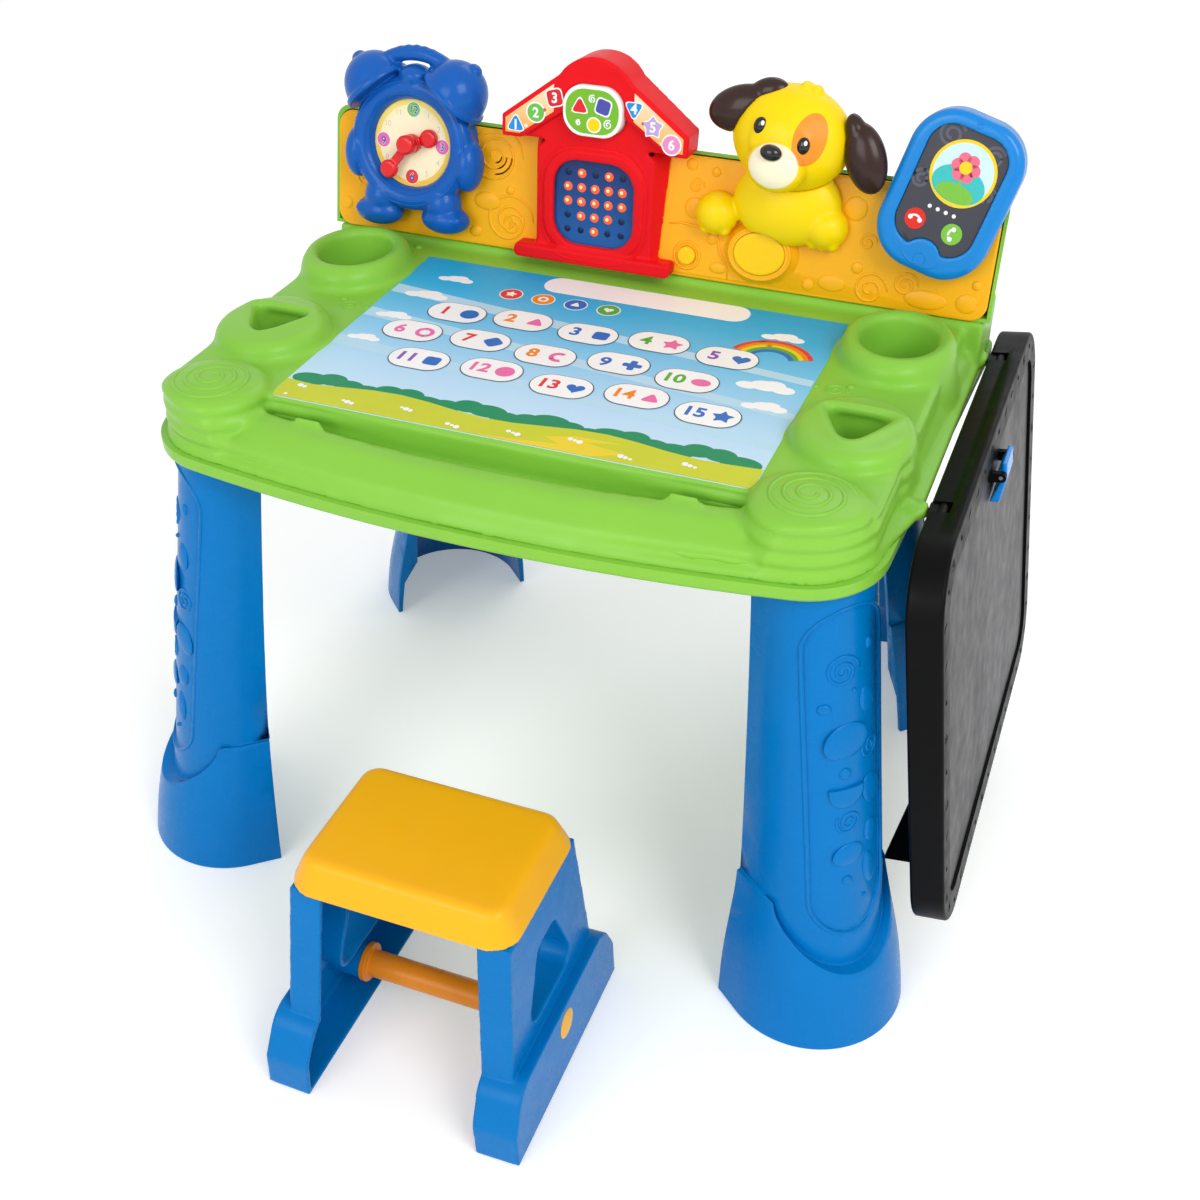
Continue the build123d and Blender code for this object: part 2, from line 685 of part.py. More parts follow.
def console_back():
    pocket = DOOR_THICKNESS + CELL_GAP + CELL_RADIUS * 2
    hollow = console_form(WALL, CONSOLE_DEPTH - WALL) - below(SHELF_Z + WALL)
    hollow -= cell_box(WALL, pocket + WALL)
    hollow -= cell_box(DOOR_LIP + WALL, DOOR_THICKNESS + WALL * 2)
    body = console_form(0, CONSOLE_DEPTH) - below(SHELF_Z) - hollow
    body -= cell_box(0, pocket)
    body -= cell_box(DOOR_LIP, DOOR_THICKNESS)
    hole = SCREW_RADIUS + RUNNING_GAP
    body -= on_console(rod(0, door_screw_y(), -CONSOLE_DEPTH, WALL * 2 - CONSOLE_DEPTH, hole))
    for x, y in console_screw_places():
        body -= rod(x, y, SHELF_Z - WALL, SHELF_Z + WALL * 2, hole)
    return body


def console_screw_places():
    x = FACE_HALF * CONSOLE_SCREW_SHARE
    y = CONSOLE_Y + CONSOLE_DEPTH / 2
    return [(-x, y), (x, y)]


def battery_door():
    plate = cell_box(DOOR_LIP - RUNNING_GAP, DOOR_THICKNESS)
    hole = SCREW_RADIUS + RUNNING_GAP
    return plate - on_console(rod(0, door_screw_y(), -CONSOLE_DEPTH, WALL - CONSOLE_DEPTH, hole))


def battery_cells():
    cells = []
    depth = DOOR_THICKNESS + CELL_GAP + CELL_RADIUS - CONSOLE_DEPTH
    for index in range(CELL_COUNT):
        y = CELL_Y + (index - (CELL_COUNT - 1) / 2) * (CELL_RADIUS * 2 + CELL_GAP)
        side = 1 if index % 2 else -1
        can = Rot(0, 90, 0) * Cylinder(CELL_RADIUS, CELL_LENGTH)
        tip = Rot(0, 90, 0) * Cylinder(CELL_TIP_RADIUS, CELL_TIP)
        cell = Pos(-side * CELL_TIP / 2, y, depth) * can + Pos(side * CELL_LENGTH / 2, y, depth) * tip
        cells.append(on_console(cell))
    return Compound(children=cells)


def battery_contacts():
    plates = []
    height = CELL_COUNT * (CELL_RADIUS * 2 + CELL_GAP)
    depth = DOOR_THICKNESS + CELL_GAP + CELL_RADIUS - CONSOLE_DEPTH
    for side in (-1, 1):
        x = side * (CELL_LENGTH + CELL_TIP + CONTACT_THICKNESS) / 2
        plate = Box(CONTACT_THICKNESS, height, CELL_RADIUS * 2)
        plates.append(on_console(Pos(x, CELL_Y, depth) * plate))
    return Compound(children=plates)


def mound():
    sketch = Pos(BUTTON_X, BUTTON_Y) * Ellipse(*MOUND_RADII)
    return rise(sketch, FACE_THICKNESS, FACE_THICKNESS + MOUND_HEIGHT, MOUND_TAPER)


def button_sketch(grow):
    return Pos(BUTTON_X, BUTTON_Y) * Ellipse(BUTTON_RADII[0] + grow, BUTTON_RADII[1] + grow)


def small_button_sketch(grow):
    return Pos(SMALL_BUTTON_X, SMALL_BUTTON_Y) * Circle(SMALL_BUTTON_RADIUS + grow)


def board_posts():
    places = []
    for side_x in (-1, 1):
        for side_y in (-1, 1):
            x = MAIN_BOARD_X + side_x * (MAIN_BOARD_WIDTH / 2 - SCREW_HEAD_RADIUS)
            y = MAIN_BOARD_Y + side_y * (MAIN_BOARD_HEIGHT / 2 - SCREW_HEAD_RADIUS)
            places.append((x, y))
    return places


def console_front():
    outline = Pos(0, CONSOLE_HEIGHT / 2) * rounded(FACE_HALF * 2, CONSOLE_HEIGHT, CONSOLE_CORNER)
    body = rise(outline, 0, FACE_THICKNESS)
    body = fillet(body.faces().sort_by(Axis.Z)[-1].edges(), FACE_ROUND)
    body += mound()
    for x, y in board_posts():
        body += rod(x, y, -MAIN_BOARD_STAND, 0, SCREW_HEAD_RADIUS)
    body -= rise(button_sketch(RUNNING_GAP), 0, FACE_THICKNESS + MOUND_HEIGHT)
    body -= rise(small_button_sketch(RUNNING_GAP), 0, FACE_THICKNESS)
    ring = SPEAKER_RADIUS / (SLOT_COUNT + 1)
    for index in range(SLOT_COUNT):
        slot = Circle(ring * (index + 1) + SLOT_WIDTH) - Circle(ring * (index + 1))
        quarter = Rectangle(SPEAKER_RADIUS, SPEAKER_RADIUS)
        slot &= Pos(SPEAKER_RADIUS / 2, -SPEAKER_RADIUS / 2) * quarter
        body -= rise(Pos(SPEAKER_X, SPEAKER_Y) * slot, 0, FACE_THICKNESS)
    body = on_console(body)
    return body - below(SHELF_Z)


def speaker():
    magnet = rod(SPEAKER_X, SPEAKER_Y, -SPEAKER_DEPTH, -SPEAKER_DEPTH / 2, SPEAKER_RADIUS / 2)
    basket = rod(SPEAKER_X, SPEAKER_Y, -SPEAKER_DEPTH / 2, 0, SPEAKER_RADIUS)
    return on_console(magnet + basket)


def main_board():
    plate = Pos(MAIN_BOARD_X, MAIN_BOARD_Y) * Rectangle(MAIN_BOARD_WIDTH, MAIN_BOARD_HEIGHT)
    return on_console(rise(plate, -MAIN_BOARD_STAND - BOARD_THICKNESS, -MAIN_BOARD_STAND))


def press_button(sketch_of, top, travel, x, y):
    flange_top = -RUNNING_GAP
    body = rise(sketch_of(0), flange_top - FLANGE_THICKNESS, top)
    body = fillet(body.faces().sort_by(Axis.Z)[-1].edges(), FLANGE_THICKNESS)
    body += rise(sketch_of(FLANGE_WIDTH), flange_top - FLANGE_THICKNESS, flange_top)
    stem_low = travel + RUNNING_GAP - MAIN_BOARD_STAND
    body += rod(x, y, stem_low, flange_top - FLANGE_THICKNESS, SCREW_HEAD_RADIUS)
    return on_console(body)


def build_console():
    nodes["console_back"] = console_back()
    nodes["console_front"] = console_front()
    nodes["battery_door"] = battery_door()
    door_screw = screw(0, door_screw_y(), -CONSOLE_DEPTH, DOOR_THICKNESS + WALL)
    nodes["battery_door_screw"] = on_console(door_screw)
    nodes["battery_cells"] = battery_cells()
    nodes["battery_contacts"] = battery_contacts()
    nodes["speaker"] = speaker()
    nodes["main_board"] = main_board()
    top = FACE_THICKNESS + MOUND_HEIGHT + BUTTON_STAND
    nodes["dog_button"] = press_button(button_sketch, top, BUTTON_TRAVEL, BUTTON_X, BUTTON_Y)
    top = FACE_THICKNESS + SMALL_BUTTON_TRAVEL + BUTTON_STAND
    nodes["small_button"] = press_button(
        small_button_sketch, top, SMALL_BUTTON_TRAVEL, SMALL_BUTTON_X, SMALL_BUTTON_Y
    )
    length = SHELF_Z + WALL - CAVITY_Z
    console_screws = [screw(x, y, CAVITY_Z, length) for x, y in console_screw_places()]
    nodes["console_screws"] = Compound(children=console_screws)


# Clock, drawn round the middle of its dial
def on_clock(shape):
    return on_console(Pos(CLOCK_X, CLOCK_Y, FACE_THICKNESS) * shape)


def bell(side):
    dome = ellipsoid((0, 0, 0), (BELL_RADIUS, BELL_HEIGHT, BELL_RADIUS))
    dome -= block(-LARGE, LARGE, -LARGE, 0, -LARGE, LARGE)
    dome += Rot(90, 0, 0) * Cylinder(BELL_RADIUS + BELL_RIM / 2, BELL_RIM)
    reach = CLOCK_RADIUS + BELL_RIM / 4
    angle = math.radians(BELL_LEAN)
    place = Pos(side * reach * math.sin(angle), reach * math.cos(angle), CLOCK_DEPTH / 2)
    return place * Rot(0, 0, -side * BELL_LEAN) * dome


def clock_body():
    shoulder = CLOCK_DEPTH * CLOCK_SHOULDER_SHARE
    crest = (CLOCK_RADIUS + DIAL_RADIUS) / 2
    edges = [
        Line((0, 0), (CLOCK_RADIUS, 0)),
        Line((CLOCK_RADIUS, 0), (CLOCK_RADIUS, shoulder)),
        ThreePointArc((CLOCK_RADIUS, shoulder), (crest, CLOCK_DEPTH), (DIAL_RADIUS, DIAL_LEVEL)),
        Line((DIAL_RADIUS, DIAL_LEVEL), (0, DIAL_LEVEL)),
        Line((0, DIAL_LEVEL), (0, 0)),
    ]
    body = revolve(Plane.XZ * make_face(edges), axis=Axis.Z)
    middle = CLOCK_DEPTH / 2
    thick = CLOCK_DEPTH * LIMB_DEPTH_SHARE
    arm_radii = (ARM_RADIUS, FOOT_LENGTH / 2, thick)
    toe_radii = (FOOT_LENGTH / 2, ARM_RADIUS, thick)
    ankle_radii = (ARM_RADIUS * ANKLE_WIDTH_SHARE, ARM_RADIUS * ANKLE_HEIGHT_SHARE, thick)
    for side in (-1, 1):
        body += bell(side)
        body += ellipsoid((side * (CLOCK_RADIUS - WALL), -ARM_RADIUS, middle), arm_radii)
        body += ellipsoid((side * (FOOT_SPREAD + WALL), FOOT_DROP + ARM_RADIUS, middle), toe_radii)
        body += ellipsoid((side * FOOT_SPREAD, FOOT_DROP + ARM_RADIUS * 2, middle), ankle_radii)
    crown_radii = (CROWN_RADIUS, CROWN_RADIUS * CROWN_HEIGHT_SHARE, thick)
    body += ellipsoid((0, CLOCK_RADIUS, middle), crown_radii)
    left = (-HANDLE_SPAN, HANDLE_FOOT, middle)
    right = (HANDLE_SPAN, HANDLE_FOOT, middle)
    path = ThreePointArc(left, (0, HANDLE_RISE, middle), right)
    section = Plane(origin=path @ 0, z_dir=path % 0) * Circle(HANDLE_TUBE)
    body += sweep(section, path=path)
    seat = rod(0, 0, DIAL_LEVEL, CLOCK_DEPTH, DIAL_RADIUS)
    body -= seat
    body -= rod(0, 0, DIAL_LEVEL - SPINDLE_SEAT, DIAL_LEVEL, SPINDLE_RADIUS + SPINDLE_GAP)
    body = on_clock(body)
    return body - behind_face()


def clock_hand(length, level, angle):
    body = rod(0, 0, level, level + HAND_LAYER, HUB_RADIUS)
    body += rod(length, 0, level, level + HAND_LAYER, HUB_RADIUS - HAND_GAP)
    body = fillet(body.faces().sort_by(Axis.Z)[-2:].edges(), HAND_LAYER * HAND_ROUND_SHARE)
    half = HAND_ARM_WIDTH / 2
    body += block(0, length, -half, half, level, level + HAND_ARM_LAYER)
    body -= rod(0, 0, level, level + HAND_LAYER, SPINDLE_RADIUS + SPINDLE_GAP)
    return on_clock(Rot(0, 0, angle) * body)


def build_clock():
    nodes["clock_body"] = clock_body()
    dial = Circle(DIAL_RADIUS - RUNNING_GAP) - Circle(SPINDLE_RADIUS + RUNNING_GAP)
    nodes["clock_dial"] = on_clock(rise(dial, DIAL_LEVEL, DIAL_LEVEL + DIAL_THICKNESS))
    hour_level = DIAL_LEVEL + DIAL_THICKNESS + HAND_GAP
    minute_level = hour_level + HAND_LAYER + HAND_GAP
    cap_level = minute_level + HAND_LAYER + HAND_GAP
    nodes["hour_hand"] = clock_hand(HOUR_LENGTH, hour_level, HOUR_ANGLE)
    nodes["minute_hand"] = clock_hand(MINUTE_LENGTH, minute_level, MINUTE_ANGLE)
    cap = rod(0, 0, cap_level, cap_level + HAND_ARM_LAYER, HUB_RADIUS)
    cap = fillet(cap.faces().sort_by(Axis.Z)[-1].edges(), HAND_ARM_LAYER * CAP_ROUND_SHARE)
    cap += rod(0, 0, DIAL_LEVEL - SPINDLE_SEAT, cap_level, SPINDLE_RADIUS)
    nodes["clock_spindle"] = on_clock(cap)


# House, drawn on its upright front
HOUSE_TILT = math.radians(HOUSE_LEAN)
HOUSE = Plane(
    origin=(HOUSE_X, CONSOLE_Y - HOUSE_STAND, SHELF_Z),
    x_dir=(1, 0, 0),
    z_dir=(0, -math.cos(HOUSE_TILT), math.sin(HOUSE_TILT)),
)


def on_house(shape):
    return HOUSE.location * shape


def gable(half, eave, peak):
    points = [(-half, 0), (half, 0), (half, eave), (0, peak), (-half, eave)]
    return make_face(Polyline(*points, close=True))


def roof_face():
    half = HOUSE_EAVE_HALF
    tower = HOUSE_TOWER_HALF
    high = HOUSE_EAVE_Y + HOUSE_EAVE_RISE
    edges = [
        Line((-half, HOUSE_EAVE_Y), (half, HOUSE_EAVE_Y)),
        Line((half, HOUSE_EAVE_Y), (half, high)),
        Line((half, high), (tower, HOUSE_SHOULDER_Y)),
        ThreePointArc((tower, HOUSE_SHOULDER_Y), (0, HOUSE_TOP_Y), (-tower, HOUSE_SHOULDER_Y)),
        Line((-tower, HOUSE_SHOULDER_Y), (-half, high)),
        Line((-half, high), (-half, HOUSE_EAVE_Y)),
    ]
    return make_face(edges)


def roof_band():
    inner_half = HOUSE_EAVE_HALF - HOUSE_EAVE_RISE
    inner_peak = HOUSE_SHOULDER_Y - HOUSE_EAVE_RISE * ROOF_PEAK_SHARE
    return roof_face() - gable(inner_half, HOUSE_EAVE_Y, inner_peak)


def window_sketch(grow):
    size = WINDOW_SIZE + grow * 2
    return Pos(0, WINDOW_Y) * rounded(size, size, WINDOW_ROUND + grow)


def badge_sketch(grow):
    outline = rounded(BADGE_WIDTH + grow * 2, BADGE_HEIGHT + grow * 2, BADGE_ROUND + grow)
    return Pos(0, BADGE_Y) * outline


def led_posts():
    reach = WINDOW_SIZE / 2 + WINDOW_FRAME / 2
    return [(x, WINDOW_Y + y) for x in (-reach, reach) for y in (-reach, reach)]


def house_front():
    outline = gable(HOUSE_WALL_HALF, HOUSE_EAVE_Y, HOUSE_SHOULDER_Y)
    body = rise(outline, -HOUSE_DEPTH, 0, HOUSE_TAPER)
    body += rise(roof_face(), -HOUSE_DEPTH, 0)
    body += rise(roof_band(), 0, HOUSE_ROOF_STAND)
    plinth = rounded(HOUSE_BASE_HALF * 2, HOUSE_BASE_HEIGHT, HOUSE_BASE_HEIGHT / 3)
    body += rise(Pos(0, HOUSE_BASE_HEIGHT / 2 + WALL) * plinth, -HOUSE_DEPTH, HOUSE_ROOF_STAND)
    body += rise(window_sketch(WINDOW_FRAME), -WALL, WINDOW_FRAME_RISE)
    room_half = HOUSE_WALL_HALF - HOUSE_DEPTH * math.tan(math.radians(HOUSE_TAPER)) - WALL
    room = Pos(0, WINDOW_Y) * Rectangle(room_half * 2, WINDOW_SIZE + WINDOW_FRAME * 3)
    body -= rise(room, WALL - HOUSE_DEPTH, -WALL)
    body -= rise(window_sketch(0), -WALL, WINDOW_FRAME_RISE)
    body -= rise(badge_sketch(RUNNING_GAP), -WALL, HOUSE_ROOF_STAND)
    pocket = FLANGE_THICKNESS + BADGE_TRAVEL + RUNNING_GAP * 2
    body -= rise(badge_sketch(FLANGE_WIDTH + RUNNING_GAP), -WALL - pocket, -WALL)
    for x, y in led_posts():
        body += rod(x, y, -WALL - WINDOW_THICKNESS - LED_BOARD_DROP, -WALL, LED_RADIUS)
    body = on_house(body)
    return body - behind_face() - below(SHELF_Z)


def led_lamps(level):
    lamps = []
    for column in range(LED_COUNT):
        for row in range(LED_COUNT):
            x = (column - (LED_COUNT - 1) / 2) * LED_PITCH
            y = WINDOW_Y + (row - (LED_COUNT - 1) / 2) * LED_PITCH
            lamps.append(on_house(rod(x, y, level, level + LED_HEIGHT, LED_RADIUS)))
    return Compound(children=lamps)


def number_strip(side):
    band = roof_band() - badge_sketch(STRIP_MARGIN / 2)
    band -= Rectangle(HOUSE_TOWER_HALF * 2, LARGE)
    half = Pos(side * LARGE / 4, 0) * Rectangle(LARGE / 2, LARGE)
    strip = offset(band & half, amount=-STRIP_MARGIN)
    return on_house(rise(strip, HOUSE_ROOF_STAND, HOUSE_ROOF_STAND + STRIP_THICKNESS))


def build_house():
    nodes["house_front"] = house_front()
    plate = window_sketch(WINDOW_FRAME / 4)
    nodes["led_window"] = on_house(rise(plate, -WALL - WINDOW_THICKNESS, -WALL))
    level = -WALL - WINDOW_THICKNESS - LED_BOARD_DROP
    size = WINDOW_SIZE + WINDOW_FRAME + LED_RADIUS * 2
    board = Pos(0, WINDOW_Y) * Rectangle(size, size)
    nodes["led_board"] = on_house(rise(board, level - BOARD_THICKNESS, level))
    nodes["led_lamps"] = led_lamps(level)
    flange_top = -WALL - RUNNING_GAP
    cap = rise(badge_sketch(0), flange_top - FLANGE_THICKNESS, HOUSE_ROOF_STAND + BADGE_STAND)
    cap = fillet(cap.faces().sort_by(Axis.Z)[-1].edges(), FLANGE_THICKNESS)
    cap += rise(badge_sketch(FLANGE_WIDTH), flange_top - FLANGE_THICKNESS, flange_top)
    nodes["mode_button"] = on_house(cap)
    nodes["number_strip_left"] = number_strip(-1)
    nodes["number_strip_right"] = number_strip(1)


# Dog, drawn round the middle of its head
def on_head(shape):
    middle = Pos(DOG_X, DOG_HEAD_Y, FACE_THICKNESS + DOG_HEAD_DEPTH)
    return on_console(middle * Rot(0, 0, -DOG_ROLL) * shape)


def build_dog():
    skull = ellipsoid((0, 0, 0), DOG_HEAD_RADII) + ellipsoid(MUZZLE_OFFSET, MUZZLE_RADII)
    back = behind_face()
    head = on_head(skull) - back
    nodes["dog_head"] = head
    nodes["dog_nose"] = on_head(ellipsoid(NOSE_OFFSET, NOSE_RADII)) - head
    eyes = [on_head(ellipsoid(place, EYE_RADII)) - head for place in EYE_OFFSETS]
    nodes["dog_eyes"] = Compound(children=eyes)
    ear = Rot(0, 0, EAR_LEFT_TURN) * ellipsoid((0, 0, 0), EAR_LEFT_RADII)
    nodes["dog_ear_left"] = on_head(Pos(*EAR_LEFT_OFFSET) * ear) - head - back
    ear = Rot(0, 0, EAR_RIGHT_TURN) * ellipsoid((0, 0, 0), EAR_RIGHT_RADII)
    nodes["dog_ear_right"] = on_head(Pos(*EAR_RIGHT_OFFSET) * ear) - head - back
    level = FACE_THICKNESS + PAW_LEVEL
    body = ellipsoid((DOG_X, DOG_BODY_Y, level), DOG_BODY_RADII)
    for x in PAW_PLACES:
        body += ellipsoid((x, PAW_Y, level), PAW_RADII)
    column = rise(button_sketch(RUNNING_GAP), 0, FACE_THICKNESS + MOUND_HEIGHT * 2)
    nodes["dog_body"] = on_console(body - mound() - column) - back - head


# Phone, turned on the console
def on_phone(shape):
    return on_console(Pos(PHONE_X, PHONE_Y, FACE_THICKNESS) * Rot(0, 0, -PHONE_TURN) * shape)


def screen_sketch(grow):
    outline = rounded(SCREEN_WIDTH + grow * 2, SCREEN_LENGTH + grow * 2, SCREEN_CORNER + grow)
    notch = Circle(SCREEN_NOTCH_RADIUS - grow)
    outline -= Pos(0, -SCREEN_LENGTH / 2 - SCREEN_NOTCH_RADIUS / 2) * notch
    return Pos(0, SCREEN_LIFT) * outline


def build_phone():
    outline = rounded(PHONE_WIDTH, PHONE_LENGTH, PHONE_CORNER)
    nodes["phone_back"] = on_phone(rise(outline, 0, PHONE_SPLIT))
    lip_low = PHONE_DEPTH - SCREEN_DROP - SCREEN_LIP
    bezel = rise(outline, PHONE_SPLIT, PHONE_DEPTH)
    bezel = fillet(bezel.faces().sort_by(Axis.Z)[-1].edges(), PHONE_ROUND)
    bezel -= rise(screen_sketch(RUNNING_GAP), PHONE_SPLIT, PHONE_DEPTH)
    bezel -= rise(screen_sketch(FLANGE_WIDTH + RUNNING_GAP), PHONE_SPLIT, lip_low)
    nodes["phone_bezel"] = on_phone(bezel)
    flange_top = lip_low - RUNNING_GAP
    screen = rise(screen_sketch(0), flange_top - FLANGE_THICKNESS, PHONE_DEPTH - SCREEN_DROP)
    screen += rise(screen_sketch(FLANGE_WIDTH), flange_top - FLANGE_THICKNESS, flange_top)
    nodes["phone_screen"] = on_phone(screen)


# Side board, drawn from its hinge line
def board_outline(inset):
    width = SIDE_BOARD_WIDTH - inset * 2
    height = SIDE_BOARD_HEIGHT - inset * 2
    outline = rounded(width, height, SIDE_BOARD_CORNER - inset)
    return Pos(0, HINGE_TOP - SIDE_BOARD_HEIGHT / 2) * outline


def hinge_notch(place):
    half = HINGE_KNUCKLE_WIDTH / 2 + RUNNING_GAP * 2
    low = -HINGE_KNUCKLE_RADIUS - RUNNING_GAP * 4
    return block(place - half, place + half, low, HINGE_TOP + WALL, -HINGE_BACK - WALL, -low)


def hinge_rod(place, length, radius):
    return Pos(place, 0, 0) * Rot(0, 90, 0) * Cylinder(radius, length)


def hinge_offsets():
    return [y - SIDE_BOARD_Y for y in hinge_places()]


def leg_side(height_share, across_share):
    low = 0
    while BOOT_HEIGHT_SHARES[low + 1] < height_share:
        low += 1
    span = BOOT_HEIGHT_SHARES[low + 1] - BOOT_HEIGHT_SHARES[low]
    part = (height_share - BOOT_HEIGHT_SHARES[low]) / span
    radius_share = BOOT_RADIUS_SHARES[low] * (1 - part) + BOOT_RADIUS_SHARES[low + 1] * part
    shift = LEG_FRONT_SPLAY * (1 - height_share)
    angle = math.radians(LEG_FRONT_ANGLE)
    top_x, top_y = leg_tops()[1]
    radius = LEG_RADIUS * radius_share
    side_y = top_y - shift * math.sin(angle) + radius * across_share
    return top_x + shift * math.cos(angle) + radius * math.sqrt(1 - across_share**2), side_y


def rest_fin():
    tip_z = LEG_TOP_Z * REST_HEIGHT_SHARE
    tip_x, tip_y = leg_side(REST_HEIGHT_SHARE, REST_ACROSS_SHARE)
    place = tip_y - SIDE_BOARD_Y
    tip = SIDE_BOARD.to_local_coords(Vector(tip_x + REST_GAP, tip_y, tip_z))
    root = WALL / 2 - HINGE_BACK
    points = [(root, tip.Y), (tip.Z, tip.Y), (root, tip.Y + REST_LENGTH)]
    side = Plane(origin=(place, 0, 0), x_dir=(0, 0, 1), z_dir=(-1, 0, 0))
    return extrude(side * make_face(Polyline(*points, close=True)), amount=REST_THICKNESS)


def clip_place():
    return HINGE_TOP - CLIP_DROP, BACK_SHELL_DEPTH - HINGE_BACK + FRAME_DEPTH + CLIP_STAND


def clip_rod(x, length, radius):
    return Pos(x, *clip_place()) * Rot(0, 90, 0) * Cylinder(radius, length)


def board_back(split, seat):
    body = rise(board_outline(0), -HINGE_BACK, split)
    body = fillet(body.faces().sort_by(Axis.Z)[0].edges(), FRAME_ROUND)
    body -= rise(board_outline(WALL), WALL - HINGE_BACK, split)
    reach = SIDE_BOARD_HEIGHT / 2 - FRAME_WIDTH
    middle = HINGE_TOP - SIDE_BOARD_HEIGHT / 2
    root = WALL / 2 - HINGE_BACK
    for share in RIB_SHARES:
        x = SIDE_BOARD_WIDTH * share
        half = WALL / 2
        top = seat - SURFACE_THICKNESS
        body += block(x - half, x + half, middle - reach, middle + reach, root, top)
    half = HINGE_KNUCKLE_WIDTH / 2 + HINGE_BLOCK
    for place in hinge_offsets():
        body += block(place - half, place + half, -HINGE_BLOCK, HINGE_TOP - WALL, root, split)
    body += rest_fin()
    for place in hinge_offsets():
        body -= hinge_notch(place)
        body -= hinge_rod(place, hinge_pin_length(), HINGE_PIN_RADIUS + HINGE_PIN_GAP)
    return body


def board_frame(split, seat, front):
    body = rise(board_outline(0), split, front)
    body = fillet(body.faces().sort_by(Axis.Z)[-1].edges(), FRAME_ROUND)
    body -= rise(board_outline(FRAME_WIDTH), split, front)
    body -= rise(board_outline(FRAME_WIDTH - SURFACE_MARGIN), split, seat)
    for place in hinge_offsets():
        body -= hinge_notch(place)
    pin_y, pin_z = clip_place()
    x = CLIP_WIDTH / 2 + RUNNING_GAP + CLIP_LUG_WIDTH / 2
    half = CLIP_LUG_WIDTH / 2
    low = pin_y - CLIP_LUG_RADIUS
    tab_half = x + half
    body += block(-tab_half, tab_half, low, HINGE_TOP - FRAME_WIDTH + FRAME_LIP, seat, front)
    for side in (-x, x):
        body += clip_rod(side, CLIP_LUG_WIDTH, CLIP_LUG_RADIUS)
        body += block(side - half, side + half, low, pin_y + CLIP_LUG_RADIUS, seat, pin_z)
    return body - clip_rod(0, LARGE, CLIP_PIN_RADIUS + HINGE_PIN_GAP)


def hinge_pin_length():
    return HINGE_KNUCKLE_WIDTH + HINGE_BLOCK * HINGE_PIN_SHARE


def hinge_bracket(y):
    knuckle = Pos(HINGE_X, y, HINGE_Z) * Rot(90, 0, 0)
    half = HINGE_KNUCKLE_WIDTH / 2
    arm = HINGE_ARM / 2
    body = knuckle * Cylinder(HINGE_KNUCKLE_RADIUS, HINGE_KNUCKLE_WIDTH)
    body += block(hinge_pad_x(), HINGE_X, y - half, y + half, HINGE_Z - arm, HINGE_Z + arm)
    return body - knuckle * Cylinder(HINGE_PIN_RADIUS + HINGE_PIN_GAP, HINGE_KNUCKLE_WIDTH)


def build_side_board():
    split = BACK_SHELL_DEPTH - HINGE_BACK
    front = split + FRAME_DEPTH
    seat = front - FRAME_LIP
    nodes["board_back"] = on_side_board(board_back(split, seat))
    nodes["board_frame"] = on_side_board(board_frame(split, seat, front))
    surface = board_outline(FRAME_WIDTH - SURFACE_MARGIN + RUNNING_GAP)
    nodes["writing_surface"] = on_side_board(rise(surface, seat - SURFACE_THICKNESS, seat))
    pins = []
    for place in hinge_offsets():
        pins.append(on_side_board(hinge_rod(place, hinge_pin_length(), HINGE_PIN_RADIUS)))
    nodes["hinge_pins"] = Compound(children=pins)
    nodes["hinge_brackets"] = Compound(children=[hinge_bracket(y) for y in hinge_places()])
    reach = CLIP_WIDTH + (RUNNING_GAP + CLIP_LUG_WIDTH) * 2
    nodes["clip_pin"] = on_side_board(clip_rod(0, reach, CLIP_PIN_RADIUS))
    nodes["board_clip"] = on_side_board(board_clip(seat + RUNNING_GAP))


def board_clip(tip):
    pin_y, pin_z = clip_place()
    high = pin_y + CLIP_LENGTH * (1 - CLIP_JAW_SHARE)
    low = pin_y - CLIP_LENGTH * CLIP_JAW_SHARE
    face = pin_z + CLIP_LUG_RADIUS
    bend = pin_y - CLIP_LUG_RADIUS
    nose = tip + CLIP_THICKNESS * 2
    points = [(pin_z, high), (face, high), (face, bend), (nose, low), (tip, low), (pin_z, bend)]
    side = Plane(origin=(CLIP_WIDTH / 2, 0, 0), x_dir=(0, 0, 1), z_dir=(-1, 0, 0))
    body = extrude(side * make_face(Polyline(*points, close=True)), amount=CLIP_WIDTH)
    body += clip_rod(0, CLIP_WIDTH, CLIP_LUG_RADIUS)
    return body - clip_rod(0, LARGE, CLIP_PIN_RADIUS + HINGE_PIN_GAP)


# Stool, drawn round its own middle
def on_stool(shape):
    return Pos(STOOL_X, STOOL_Y, 0) * shape


def side_faces(grow):
    half = SIDE_LENGTH / 2
    foot = half * UPRIGHT_FOOT_SHARE - grow
    top = half * UPRIGHT_TOP_SHARE - grow
    points = [(-foot, grow), (foot, grow), (top, SEAT_LOW), (-top, SEAT_LOW)]
    upright = make_face(Polyline(*points, close=True))
    low = SEAT_LOW * ARCH_LOW_SHARE - grow
    high = SEAT_LOW * ARCH_HIGH_SHARE + grow
    wide = half * ARCH_FOOT_SHARE + grow
    narrow = half * ARCH_TOP_SHARE + grow
    points = [(-wide, low), (wide, low), (narrow, high), (-narrow, high)]
    arch = make_face(Polyline(*points, close=True))
    arch = fillet(arch.vertices(), narrow * ARCH_ROUND_SHARE)
    toe = half * SLED_TOE_SHARE - grow
    end = half - grow
    crest = SLED_HEIGHT - grow
    waist = SLED_HEIGHT / 2
    points = [(-end, grow), (end, grow), (end, waist), (toe, crest), (-toe, crest), (-end, waist)]
    sled = make_face(Polyline(*points, close=True))
    corners = [v for v in sled.vertices() if v.Y > waist / 2]
    return upright - arch, fillet(corners, SLED_ROUND - grow)


